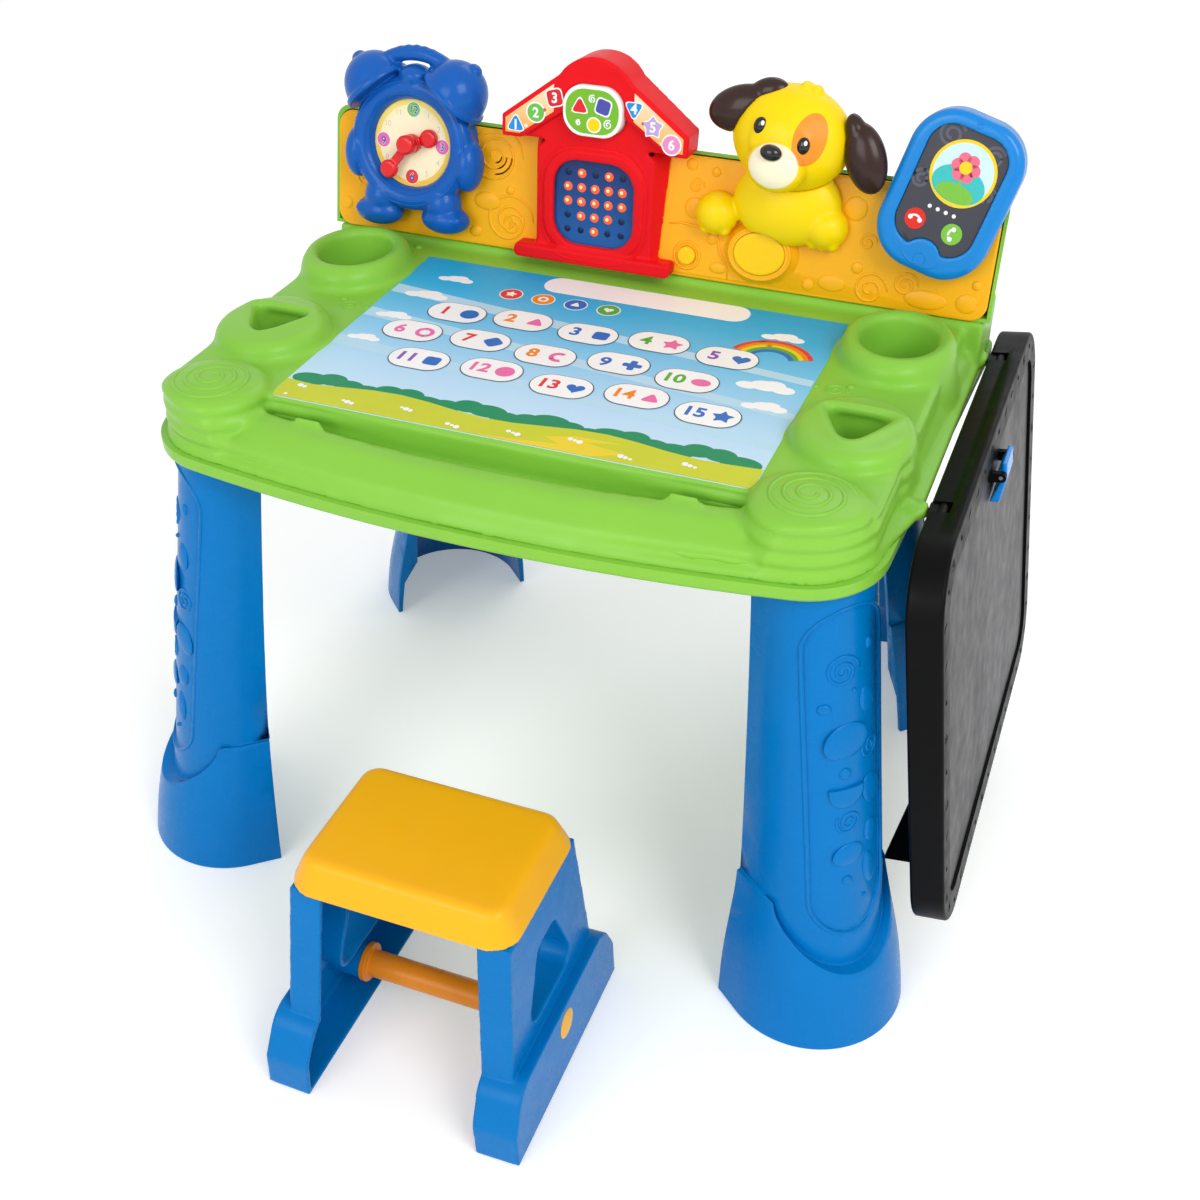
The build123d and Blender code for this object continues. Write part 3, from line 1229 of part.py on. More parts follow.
def side_form(grow, x_low, upright_x, sled_x):
    upright, sled = side_faces(grow)
    face = Plane(origin=(x_low, 0, 0), x_dir=(0, 1, 0), z_dir=(1, 0, 0))
    body = extrude(face * upright, amount=upright_x - x_low)
    body += extrude(face * sled, amount=sled_x - x_low)
    return Pos(SIDE_SPREAD, 0, SEAT_LOW) * Rot(0, -SIDE_LEAN, 0) * Pos(0, 0, -SEAT_LOW) * body


def along_bar(x_low, x_high, radius):
    bar = Rot(0, 90, 0) * Cylinder(radius, x_high - x_low)
    return Pos((x_low + x_high) / 2, 0, BAR_HEIGHT) * bar


def stool_side():
    full = side_form(0, 0, UPRIGHT_THICKNESS, SLED_THICKNESS)
    upright_room = UPRIGHT_THICKNESS - STOOL_WALL
    hollow = side_form(STOOL_WALL, -SLED_THICKNESS, upright_room, SLED_THICKNESS - STOOL_WALL)
    room = block(-LARGE, LARGE, -LARGE, LARGE, STOOL_WALL, SEAT_LOW - STOOL_WALL)
    body = full - (hollow & room)
    boss_x = BAR_SHOULDER
    boss = along_bar(boss_x, LARGE, BAR_RADIUS + BAR_BOSS_WALL)
    body += boss & full
    body -= along_bar(0, LARGE, BAR_END_RADIUS + RUNNING_GAP)
    trim = block(-LARGE, LARGE, -LARGE, LARGE, 0, SEAT_LOW)
    return body & trim


def stool_seat():
    outline = rounded(SEAT_WIDTH, SEAT_DEPTH, SEAT_CORNER)
    body = rise(outline, SEAT_LOW, STOOL_HEIGHT, SEAT_TAPER)
    body = fillet(body.faces().sort_by(Axis.Z)[-1].edges(), SEAT_ROUND)
    room_half = SIDE_SPREAD - STOOL_WALL
    inner = Pos(0, 0, SEAT_LOW) * rounded(room_half * 2, SEAT_DEPTH - SEAT_WALL * 2, SEAT_CORNER)
    body -= extrude(inner, amount=SEAT_THICKNESS - SEAT_WALL, taper=SEAT_TAPER)
    for x, y in stool_screw_places():
        hole_top = SEAT_LOW + SEAT_THICKNESS / 2
        body -= rod(x, y, SEAT_LOW - STOOL_WALL, hole_top, SCREW_RADIUS + RUNNING_GAP)
    return body


def stool_screw_places():
    x = SIDE_SPREAD + UPRIGHT_THICKNESS / 2
    y = SEAT_DEPTH / 4
    return [(-x, -y), (-x, y), (x, -y), (x, y)]


def build_stool():
    nodes["stool_seat"] = on_stool(stool_seat())
    side = stool_side()
    for x, y in stool_screw_places():
        side -= rod(x, y, SEAT_LOW - STOOL_WALL * 2, SEAT_LOW + STOOL_WALL, SCREW_RADIUS + RUNNING_GAP)
    nodes["stool_side_right"] = on_stool(side)
    nodes["stool_side_left"] = on_stool(mirror(side, about=Plane.YZ))
    end = side.bounding_box().max.X - SLED_THICKNESS / 4
    bar = along_bar(-end, end, BAR_END_RADIUS)
    bar += along_bar(-BAR_SHOULDER, BAR_SHOULDER, BAR_RADIUS)
    bar += along_bar(BAR_SHOULDER - BAR_COLLAR_WIDTH, BAR_SHOULDER, BAR_COLLAR_RADIUS)
    bar += along_bar(-BAR_SHOULDER, BAR_COLLAR_WIDTH - BAR_SHOULDER, BAR_COLLAR_RADIUS)
    nodes["stool_bar"] = on_stool(bar)
    length = STOOL_WALL + SEAT_THICKNESS / 2
    screws = [on_stool(screw(x, y, SEAT_LOW - STOOL_WALL, length)) for x, y in stool_screw_places()]
    nodes["stool_screws"] = Compound(children=screws)


nodes["desk_base"] = desk_base()
nodes["desk_top"] = desk_top()
nodes["touch_panel"] = touch_panel()
nodes["activity_sheet"] = activity_sheet()
nodes["case_screws"] = case_screws()
place_legs()
build_console()
build_clock()
build_house()
build_dog()
build_phone()
build_side_board()
build_stool()
boxes = [shape.bounding_box() for shape in nodes.values()]
shift = Pos(
    -(min(b.min.X for b in boxes) + max(b.max.X for b in boxes)) / 2,
    -(min(b.min.Y for b in boxes) + max(b.max.Y for b in boxes)) / 2,
    -min(b.min.Z for b in boxes),
)
os.makedirs("parts", exist_ok=True)
for name, shape in nodes.items():
    placed = [shift * solid for solid in shape.solids()]
    export_step(Compound(placed), f"parts/{name}.step")
print("shift", shift)
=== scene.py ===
import math
import bmesh
import bpy
from mathutils import Matrix, Vector
from mathutils.bvhtree import BVHTree


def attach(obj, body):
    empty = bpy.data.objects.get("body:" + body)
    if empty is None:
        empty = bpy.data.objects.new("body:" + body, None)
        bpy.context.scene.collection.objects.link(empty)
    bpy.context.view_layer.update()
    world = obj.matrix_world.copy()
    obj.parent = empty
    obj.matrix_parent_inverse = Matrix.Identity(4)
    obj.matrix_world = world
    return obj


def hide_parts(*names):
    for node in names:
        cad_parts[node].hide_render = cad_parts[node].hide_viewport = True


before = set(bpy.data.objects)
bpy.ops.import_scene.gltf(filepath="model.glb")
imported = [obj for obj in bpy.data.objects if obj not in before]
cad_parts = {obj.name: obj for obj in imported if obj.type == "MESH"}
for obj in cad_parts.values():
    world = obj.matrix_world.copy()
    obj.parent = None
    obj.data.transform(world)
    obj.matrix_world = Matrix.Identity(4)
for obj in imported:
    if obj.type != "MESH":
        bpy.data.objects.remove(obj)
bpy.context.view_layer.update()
scene = bpy.context.scene
scene.view_settings.view_transform = "Standard"

# Sizes in millimetres, in the desk's own frame
MM = 0.001
SHIFT = Vector((-13.4319, 46.9657, 0.0))
MERGE = 0.00002
REACH = 900.0
INK = 0.12


# Frames of the pieces, from local millimetres to metres
def place(origin, x_dir=(1, 0, 0), z_dir=(0, 0, 1)):
    x_axis = Vector(x_dir)
    z_axis = Vector(z_dir)
    turn = Matrix((x_axis, z_axis.cross(x_axis), z_axis)).transposed().to_4x4()
    return Matrix.Scale(MM, 4) @ Matrix.Translation(Vector(origin) + SHIFT) @ turn


def moved(x, y, z, turn=0.0):
    return Matrix.Translation((x, y, z)) @ Matrix.Rotation(math.radians(turn), 4, "Z")


def leaning(origin, degrees):
    lean = math.radians(degrees)
    return place(origin, (1, 0, 0), (0, -math.cos(lean), math.sin(lean)))


DESK = place((0, 0, 0))
SHEET = place((0, 0, 449.9))
CONSOLE = leaning((0, 170, 456), 12)
HOUSE = leaning((-42, 155, 456), 5)
CLOCK = CONSOLE @ moved(-217, 84, 4)
HEAD = CONSOLE @ moved(125, 130, 20, -8)
PHONE = CONSOLE @ moved(258, 101, 4, -16)
STOOL = place((15, -316, 0))
TILT = math.radians(7.6)
BOARD = place((317, 58, 415), (0, 1, 0), (math.cos(TILT), 0, math.sin(TILT)))


def leg_place(x, y, degrees):
    turn = math.radians(degrees)
    across = (-math.sin(turn), math.cos(turn), 0)
    outwards = (math.cos(turn), math.sin(turn), 0)
    return place((x, y, 0), across, outwards)


LEGS = {
    "leg_front_left": leg_place(-240, -130, -140),
    "leg_front_right": leg_place(240, -130, -40),
    "leg_rear_left": leg_place(-192, 192, 135),
    "leg_rear_right": leg_place(192, 192, 45),
}


# Finishes
def tint(code):
    """A screen colour code as linear light"""
    channels = [int(code[i:i + 2], 16) / 255 for i in (0, 2, 4)]
    linear = [c / 12.92 if c <= 0.04045 else ((c + 0.055) / 1.055) ** 2.4 for c in channels]
    return (*linear, 1.0)


def shade(colour, factor):
    return tuple(min(c * factor, 1.0) for c in colour[:3]) + (1.0,)


def link(tree, source, target):
    tree.links.new(source, target)


def noise(tree, spot, scale, detail=2.0):
    node = tree.nodes.new("ShaderNodeTexNoise")
    node.inputs["Scale"].default_value = scale
    node.inputs["Detail"].default_value = detail
    link(tree, spot.outputs["Object"], node.inputs["Vector"])
    return node.outputs["Fac"]


def ranged(tree, value, low, high, to_low, to_high, smooth=False):
    node = tree.nodes.new("ShaderNodeMapRange")
    if smooth:
        node.interpolation_type = "SMOOTHSTEP"
    ends = {"From Min": low, "From Max": high, "To Min": to_low, "To Max": to_high}
    for name, number in ends.items():
        node.inputs[name].default_value = number
    link(tree, value, node.inputs["Value"])
    return node.outputs["Result"]


def blend(tree, factor, first, second):
    node = tree.nodes.new("ShaderNodeMix")
    node.data_type = "RGBA"
    link(tree, factor, node.inputs["Factor"])
    for socket, colour in ((node.inputs["A"], first), (node.inputs["B"], second)):
        if isinstance(colour, tuple):
            socket.default_value = colour
        else:
            link(tree, colour, socket)
    return node.outputs["Result"]


def plastic(name, code, roughness=0.3, grain=0.012, coat=0.0, mottle=0.05, gleam=0.25):
    """Moulded plastic with faint flow marks, uneven gloss and a fine grain"""
    material = bpy.data.materials.new(name)
    material.use_nodes = True
    tree = material.node_tree
    shader = tree.nodes["Principled BSDF"]
    spot = tree.nodes.new("ShaderNodeTexCoord")
    colour = tint(code)
    flow = noise(tree, spot, 22.0)
    tone = blend(tree, flow, shade(colour, 1 - mottle), shade(colour, 1 + mottle))
    link(tree, tone, shader.inputs["Base Color"])
    gloss = ranged(tree, noise(tree, spot, 60.0), 0.3, 0.7, roughness * 0.85, roughness * 1.15)
    link(tree, gloss, shader.inputs["Roughness"])
    bump = tree.nodes.new("ShaderNodeBump")
    bump.inputs["Strength"].default_value = grain
    bump.inputs["Distance"].default_value = MM
    link(tree, noise(tree, spot, 700.0), bump.inputs["Height"])
    link(tree, bump.outputs["Normal"], shader.inputs["Normal"])
    shader.inputs["Specular IOR Level"].default_value = gleam
    shader.inputs["Coat Weight"].default_value = coat
    shader.inputs["Coat Roughness"].default_value = 0.08
    return material


def local_spot(tree, spot, frame_matrix, centre):
    """Object coordinates turned into a frame's millimetres, about a centre"""
    inverse = frame_matrix.inverted()
    offset, turn, size = inverse.decompose()
    node = tree.nodes.new("ShaderNodeMapping")
    node.inputs["Scale"].default_value = size
    node.inputs["Rotation"].default_value = turn.to_euler()
    node.inputs["Location"].default_value = offset - Vector(centre)
    link(tree, spot.outputs["Object"], node.inputs["Vector"])
    return node.outputs["Vector"]


def oval(tree, vector, radii, soft=0.03):
    """One inside an ellipsoid of the radii and nothing outside"""
    divide = tree.nodes.new("ShaderNodeVectorMath")
    divide.operation = "DIVIDE"
    divide.inputs[1].default_value = radii
    link(tree, vector, divide.inputs[0])
    length = tree.nodes.new("ShaderNodeVectorMath")
    length.operation = "LENGTH"
    link(tree, divide.outputs["Vector"], length.inputs[0])
    return ranged(tree, length.outputs["Value"], 1 - soft, 1 + soft, 1.0, 0.0, True)


def painted(material, frame_matrix, areas):
    """Ovals of other colours over a plastic, given in a frame's millimetres"""
    tree = material.node_tree
    shader = tree.nodes["Principled BSDF"]
    spot = next(n for n in tree.nodes if n.type == "TEX_COORD")
    for centre, radii, code, soft in areas:
        base = shader.inputs["Base Color"].links[0].from_socket
        mask = oval(tree, local_spot(tree, spot, frame_matrix, centre), radii, soft)
        link(tree, blend(tree, mask, base, tint(code)), shader.inputs["Base Color"])
    return material


def banded(name, frame_matrix, axis, stops, roughness):
    """Plastic whose colour runs through stops along one axis of a frame"""
    material = plastic(name, "FFFFFF", roughness)
    tree = material.node_tree
    shader = tree.nodes["Principled BSDF"]
    spot = next(n for n in tree.nodes if n.type == "TEX_COORD")
    split = tree.nodes.new("ShaderNodeSeparateXYZ")
    link(tree, local_spot(tree, spot, frame_matrix, (0, 0, 0)), split.inputs["Vector"])
    low = stops[0][0]
    high = stops[-1][0]
    ramp = tree.nodes.new("ShaderNodeValToRGB")
    link(tree, ranged(tree, split.outputs[axis], low, high, 0.0, 1.0), ramp.inputs["Fac"])
    points = ramp.color_ramp.elements
    for index, (level, code) in enumerate(stops):
        share = (level - low) / (high - low)
        point = points[index] if index < len(points) else points.new(share)
        point.position = share
        point.color = tint(code)
    link(tree, ramp.outputs["Color"], shader.inputs["Base Color"])
    return material


def glowing(name, code, strength):
    material = plastic(name, code, 0.2)
    shader = material.node_tree.nodes["Principled BSDF"]
    shader.inputs["Emission Color"].default_value = tint(code)
    shader.inputs["Emission Strength"].default_value = strength
    return material


GREEN = plastic("desk_green", "86C442", 0.34)
ORANGE = plastic("panel_orange", "FFB414", 0.3)
BLUE = plastic("leg_blue", "0075BE", 0.28, gleam=0.12)
CLOCK_BLUE = plastic("clock_blue", "105CB4", 0.22, coat=0.1, gleam=0.15)
PHONE_BLUE = plastic("phone_blue", "0683D4", 0.24, coat=0.1)
RED = plastic("house_red", "E81A22", 0.32, gleam=0.05)
YELLOW = plastic("dog_yellow", "FFD900", 0.36)
BROWN = plastic("ear_brown", "321C15", 0.26, coat=0.1)
BLACK = plastic("board_black", "070708", 0.42, gleam=0.08)
SEAT = plastic("seat_orange", "FFB515", 0.33)
# The stool bar's orange is the seat's orange as it looks in shade, so the bar carries painted shade
BAR_PAINTED_SHADE = plastic("bar_orange", "E78B1D", 0.3)
HAND_RED = plastic("hand_red", "E3141C", 0.2, coat=0.4)
EYE = plastic("eye_black", "050505", 0.12, coat=0.6)
WHITE = plastic("print_white", "F7F7F5", 0.4)
STEEL = plastic("screw_steel", "9A9CA0", 0.3)
CIRCUIT = plastic("circuit_green", "1C5B33", 0.4)
CELL = plastic("cell_black", "2A2A2E", 0.35)
STEEL.node_tree.nodes["Principled BSDF"].inputs["Metallic"].default_value = 1.0


# Mesh helpers
def node_copy(*names):
    shape = bmesh.new()
    for name in names:
        shape.from_mesh(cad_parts[name].data)
    bmesh.ops.remove_doubles(shape, verts=shape.verts, dist=MERGE)
    return shape


def keep(shape, name, materials, body, replaced=(), crease=None):
    """Makes an object of a finished mesh and sets it on its body"""
    mesh = bpy.data.meshes.new(name)
    shape.to_mesh(mesh)
    shape.free()
    for material in materials if isinstance(materials, (list, tuple)) else [materials]:
        mesh.materials.append(material)
    mesh.shade_smooth()
    if crease is not None:
        mesh.set_sharp_from_angle(angle=math.radians(crease))
    piece = bpy.data.objects.new(name, mesh)
    scene.collection.objects.link(piece)
    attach(piece, body)
    if replaced:
        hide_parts(*replaced)
    return piece


def evaluated(data, name):
    """The mesh that a curve, a text or a modifier gives"""
    holder = data if isinstance(data, bpy.types.Object) else bpy.data.objects.new(name, data)
    scene.collection.objects.link(holder)
    graph = bpy.context.evaluated_depsgraph_get()
    mesh = bpy.data.meshes.new_from_object(holder.evaluated_get(graph))
    bpy.data.objects.remove(holder)
    return mesh


def moulded(shape, voxel, passes, depth=0):
    """One skin round overlapping solids, with its edges rounded; a depth keeps flat walls flat"""
    mesh = bpy.data.meshes.new("blank")
    shape.to_mesh(mesh)
    shape.free()
    blank = bpy.data.objects.new("blank", mesh)
    skin = blank.modifiers.new("skin", "REMESH")
    skin.mode = "SHARP" if depth else "VOXEL"
    skin.voxel_size = voxel * MM
    skin.octree_depth = depth or 1
    skin.scale = 0.99
    skin.use_remove_disconnected = False
    result = bmesh.new()
    result.from_mesh(evaluated(blank, "blank"))
    relax(result, passes)
    return result


def relax(shape, passes):
    for _ in range(passes):
        bmesh.ops.smooth_vert(
            shape, verts=shape.verts, factor=0.5, use_axis_x=True, use_axis_y=True, use_axis_z=True
        )


def ball(shape, matrix, radii, segments=32):
    made = bmesh.ops.create_uvsphere(
        shape, u_segments=segments, v_segments=segments // 2, radius=1.0
    )
    size = Matrix.Diagonal((*radii, 1.0))
    bmesh.ops.transform(shape, matrix=matrix @ size, verts=made["verts"])
    return made["verts"]


def tube(shape, points, radius):
    """A closed round bar along points, joined into a shape"""
    data = bpy.data.curves.new("tube", "CURVE")
    data.dimensions = "3D"
    data.bevel_depth = radius * MM
    data.bevel_resolution = 3
    spline = data.splines.new("NURBS")
    spline.points.add(len(points) - 1)
    for point, spot in zip(spline.points, points):
        point.co = (*spot, 1.0)
    spline.order_u = 3
    spline.use_cyclic_u = True
    spline.resolution_u = 4
    shape.from_mesh(evaluated(data, "tube"))


def crisp(name, material, body, width=0.6, crease=35):
    """A CAD node's own shape with its edges broken"""
    shape = node_copy(name)
    bmesh.ops.dissolve_limit(
        shape, angle_limit=math.radians(0.1), verts=shape.verts, edges=shape.edges
    )
    piece = keep(shape, f"{name}_shell", material, body, (name,), crease)
    if width:
        edge = piece.modifiers.new("edge", "BEVEL")
        edge.width = width * MM
        edge.segments = 2
        edge.limit_method = "ANGLE"
        edge.angle_limit = math.radians(crease + 5)
        edge.harden_normals = True
        edge.use_clamp_overlap = False
    return piece


def skin_of(piece):
    return BVHTree.FromObject(piece, bpy.context.evaluated_depsgraph_get())


def touch(skin, frame_matrix, x, y):
    """Where a line along a frame's Z meets a skin, and the skin's normal there"""
    start = frame_matrix @ Vector((x, y, REACH))
    aim = (frame_matrix.to_3x3() @ Vector((0, 0, -1))).normalized()
    spot, normal, _, _ = skin.ray_cast(start, aim)
    return spot, normal


def pebble(shape, skin, frame_matrix, x, y, radii, turn=0.0):
    """A low dome set on a skin"""
    spot, normal = touch(skin, frame_matrix, x, y)
    if spot is None:
        return []
    upright = frame_matrix.to_3x3() @ Vector((0, 1, 0))
    z_axis = normal.normalized()
    x_axis = upright.cross(z_axis).normalized()
    turned = Matrix((x_axis, z_axis.cross(x_axis), z_axis)).transposed().to_4x4()
    spin = Matrix.Rotation(math.radians(turn), 4, "Z")
    matrix = Matrix.Translation(spot) @ turned @ spin @ Matrix.Scale(MM, 4)
    return ball(shape, matrix, radii, 24)


def spiral(x, y, outer, turns=2.2, start=0.0, squash=1.0, inner=0.12):
    points = []
    count = int(turns * 20)
    for step in range(count + 1):
        share = step / count
        radius = outer * (1 - share * (1 - inner))
        angle = start + share * turns * math.tau
        points.append((x + radius * math.cos(angle), y + radius * squash * math.sin(angle)))
    return points


def ring(x, y, radius_x, radius_y=None, start=0.0, sweep=360.0):
    radius_y = radius_y or radius_x
    count = max(int(sweep / 9), 4)
    points = []
    for step in range(count + 1):
        angle = math.radians(start + sweep * step / count)
        points.append((x + radius_x * math.cos(angle), y + radius_y * math.sin(angle)))
    return points


def hug(skin, frame_matrix, points, sink):
    """World points a little below a skin under a line drawn in a frame"""
    found = []
    for x, y in points:
        spot, normal = touch(skin, frame_matrix, x, y)
        if spot is not None:
            found.append(spot - normal * sink * MM)
    return found


def ridges(name, lines, radius, material, body):
    """Thin raised lines of round section"""
    data = bpy.data.curves.new(name, "CURVE")
    data.dimensions = "3D"
    data.bevel_depth = radius * MM
    data.bevel_resolution = 2
    data.use_fill_caps = True
    for line in lines:
        if len(line) < 3:
            continue
        closed = (line[0] - line[-1]).length < MERGE
        spots = line[:-1] if closed else line
        spline = data.splines.new("NURBS")
        spline.points.add(len(spots) - 1)
        for point, spot in zip(spline.points, spots):
            point.co = (*spot, 1.0)
        if not closed:
            spline.points[0].radius = 0.4
            spline.points[-1].radius = 0.4
        spline.order_u = 3
        spline.use_cyclic_u = closed
        spline.use_endpoint_u = not closed
        spline.resolution_u = 2
    shape = bmesh.new()
    shape.from_mesh(evaluated(data, name))
    bmesh.ops.remove_doubles(shape, verts=shape.verts, dist=MERGE / 10)
    bmesh.ops.recalc_face_normals(shape, faces=shape.faces)
    return keep(shape, name, material, body)


# Thin printed plates, drawn in a frame's millimetres
def plate(shape, outline, level, ink, thick=INK):
    rim = [shape.verts.new((x, y, level)) for x, y in outline]
    face = shape.faces.new(rim)
    raised = bmesh.ops.extrude_face_region(shape, geom=[face], use_keep_orig=True)
    lifted = [v for v in raised["geom"] if isinstance(v, bmesh.types.BMVert)]
    bmesh.ops.translate(shape, verts=lifted, vec=(0, 0, thick))
    for v in rim + lifted:
        for f in v.link_faces:
            f.material_index = ink


def disc(shape, x, y, radius, level, ink, radius_y=None, thick=INK):
    plate(shape, ring(x, y, radius, radius_y)[:-1], level, ink, thick)


def polygon(x, y, radius, corners, turn=90.0, waist=1.0):
    """A regular shape with its corners cut round; a waist below one makes a star"""
    points = []
    steps = corners * (2 if waist < 1 else 1)
    for step in range(steps):
        reach = radius * (waist if waist < 1 and step % 2 else 1.0)
        angle = math.radians(turn + 360 * step / steps)
        points.append(Vector((x + reach * math.cos(angle), y + reach * math.sin(angle))))
    smooth = []
    for index, point in enumerate(points):
        before = points[index - 1]
        after = points[(index + 1) % len(points)]
        smooth.append(tuple(point.lerp(before, 0.22)))
        smooth.append(tuple(point.lerp((before + after) / 2, 0.13)))
        smooth.append(tuple(point.lerp(after, 0.22)))
    return smooth


def rounded(x, y, width, height, radius):
    points = []
    inner_x = width / 2 - radius
    inner_y = height / 2 - radius
    for corner, (side_x, side_y) in enumerate(((1, 1), (-1, 1), (-1, -1), (1, -1))):
        for step in range(9):
            angle = math.radians(corner * 90 + step * 90 / 8)
            points.append(
                (
                    x + side_x * inner_x + radius * math.cos(angle),
                    y + side_y * inner_y + radius * math.sin(angle),
                )
            )
    return points


def heart(x, y, size):
    points = []
    for step in range(40):
        angle = math.tau * step / 40
        across = 16 * math.sin(angle) ** 3
        up = 13 * math.cos(angle) - 5 * math.cos(2 * angle)
        up -= 2 * math.cos(3 * angle) + math.cos(4 * angle)
        points.append((x + size * across / 17, y + size * up / 17))
    return points


def numeral(shape, words, x, y, size, level, ink, bold=0.03, turn=0.0):
    letters = bpy.data.curves.new("numeral", "FONT")
    if words == "9":
        words = "6"
        turn += 180
    letters.body = words
    letters.size = size
    letters.align_x = "CENTER"
    letters.align_y = "CENTER"
    letters.extrude = INK / 2
    letters.offset = bold * size
    mesh = evaluated(letters, "numeral")
    mesh.transform(moved(x, y, level + INK / 2, turn))
    first = len(shape.faces)
    shape.from_mesh(mesh)
    shape.faces.ensure_lookup_table()
    for face in shape.faces[first:]:
        face.material_index = ink


def stroke(shape, line, width, level, ink):
    """A flat ribbon of one width along a line"""
    left = []
    right = []
    for index, (x, y) in enumerate(line):
        before = Vector(line[max(index - 1, 0)])
        after = Vector(line[min(index + 1, len(line) - 1)])
        along = (after - before).normalized() * width / 2
        left.append((x - along.y, y + along.x))
        right.append((x + along.y, y - along.x))
    for index in range(len(line) - 1):
        quad = [left[index], right[index], right[index + 1], left[index + 1]]
        plate(shape, quad, level, ink)


def printed(shape, name, frame_matrix, inks, body):
    bmesh.ops.remove_doubles(shape, verts=shape.verts, dist=0.0005)
    bmesh.ops.recalc_face_normals(shape, faces=shape.faces)
    bmesh.ops.transform(shape, matrix=frame_matrix, verts=shape.verts)
    return keep(shape, name, inks, body, (), 30)


# Desk top with its stones, cups and tray
CORNER_STEPS = (447.0, 434.0, 421.0)
STEP_DEPTH = 2.6
STEP_WIDTH = 3.0
FRONT_Y = -60.0
KNOB = (236.6, -148.4)
KNOB_REACH = (70.0, 150.0)
KNOB_DOME = (40, 37, 7.5)
KNOB_TOP = 454.5
REAR_CUP = (244.4, 96.6, 38, 45)
REAR_CUP_TOP = 468.0
MIDDLE_CUP = (243.3, -46, 45)
MIDDLE_CUP_TOP = 465.0
WING_PEBBLES = ((222, 32, 3.4), (196, 24, 2.4), (213, 155, 4))
SEAM = 412.0
SKIRT = 8.0
LIP = 5.0
THINNING = 0.42


def carve_steps(shape):
    """Grooves round the stacked stones at the front corners"""
    for v in shape.verts:
        spot = v.co / MM - SHIFT
        if spot.y > FRONT_Y or abs(v.normal.z) > 0.7:
            continue
        away = math.hypot(abs(spot.x) - KNOB[0], spot.y - KNOB[1])
        fade = 1 - min(max((away - KNOB_REACH[0]) / (KNOB_REACH[1] - KNOB_REACH[0]), 0), 1)
        for level in CORNER_STEPS:
            depth = math.exp(-(((spot.z - level) / STEP_WIDTH) ** 2)) * STEP_DEPTH * fade
            v.co -= v.normal * depth * MM


def close_below(shape):
    """A longer rim and a floor inside it, so that the skin leaves out the hollow"""
    centre = DESK @ Vector((0, 0, 0))
    low = bmesh.new()
    for v in shape.verts:
        if v.co.z < (SEAM + 0.5) * MM:
            v.co.z -= SKIRT * MM
            spot = centre + (v.co - centre) * 0.985
            for level in (SEAM - SKIRT + 2, SEAM + 4):
                low.verts.new((spot.x, spot.y, level * MM))
    spare = bmesh.ops.convex_hull(low, input=low.verts)
    lost = [v for v in spare["geom_interior"] if isinstance(v, bmesh.types.BMVert)]
    bmesh.ops.delete(low, geom=lost, context="VERTS")
    plug = bpy.data.meshes.new("plug")
    low.to_mesh(plug)
    low.free()
    shape.from_mesh(plug)


def at_level(outline, level):
    return [DESK @ Vector((x, y, level)) for x, y in outline]


def soften_stones(shape):
    """Lips round the cups and low domes on the corner stones"""
    for side in (-1, 1):
        x, y, radius_x, radius_y = REAR_CUP
        rear = ring(side * x, y, radius_x, radius_y)[:-1]
        tube(shape, at_level(rear, REAR_CUP_TOP - LIP / 2), LIP)
        x, y, radius = MIDDLE_CUP
        middle = polygon(side * x, y, radius, 3, -90)
        tube(shape, at_level(middle, MIDDLE_CUP_TOP - LIP / 2), LIP)
        ball(shape, DESK @ moved(side * KNOB[0], KNOB[1], KNOB_TOP), KNOB_DOME)


def desk_shell():
    shape = node_copy("desk_top")
    close_below(shape)
    soften_stones(shape)
    shape = moulded(shape, 2.2, 7)
    shape.normal_update()
    carve_steps(shape)
    relax(shape, 2)
    bmesh.ops.bisect_plane(
        shape,
        geom=shape.verts[:] + shape.edges[:] + shape.faces[:],
        plane_co=DESK @ Vector((0, 0, SEAM + 0.3)),
        plane_no=(0, 0, 1),
        clear_inner=True,
    )
    bmesh.ops.holes_fill(shape, edges=[e for e in shape.edges if e.is_boundary])
    piece = keep(shape, "desk_shell", GREEN, "desk", ("desk_top",))
    thin = piece.modifiers.new("thin", "DECIMATE")
    thin.ratio = THINNING
    skin = skin_of(piece)
    lines = []
    curls = []
    for side in (-1, 1):
        swirl = spiral(side * KNOB[0], KNOB[1], 33, 3.0, 0.4 if side > 0 else 2.7)
        lines.append(hug(skin, DESK, swirl, 0.6))
        curls.append(hug(skin, DESK, spiral(side * 212, 22, 10, 1.5), 0.3))
    ridges("desk_swirls", lines, 1.9, GREEN, "desk")
    ridges("desk_curls", curls, 1.2, GREEN, "desk")
    domes = bmesh.new()
    for side in (-1, 1):
        for x, y, radius in WING_PEBBLES:
            pebble(domes, skin, DESK, side * x, y, (radius, radius, radius * 0.5))
    keep(domes, "desk_pebbles", GREEN, "desk")


# Legs with their embossed panels
LEG_SPIRALS = ((-7, 333, 14), (19, 262, 11), (-3, 204, 11))
LEG_PEBBLES = (
    (-21, 304, 5.5, 4.5, 0),
    (15, 303, 8, 12, 10),
    (2, 316, 2, 2, 0),
    (17, 348, 3.5, 5, 0),
    (-5, 275, 19, 15, 12),
    (-6, 247, 5, 5, 0),
    (20, 224, 11, 15, 30),
    (-4, 174, 14, 10, 8),
    (19, 186, 8, 10, 0),
    (-5, 150, 4.5, 4, 0),
    (17, 152, 7, 15, 5),
    (12, 128, 2, 2, 0),
)
HALF_MOON = (-5, 233)
HALF_MOON_TOP = 235.0
BEAD = (0, 242, 70, 286, 35)


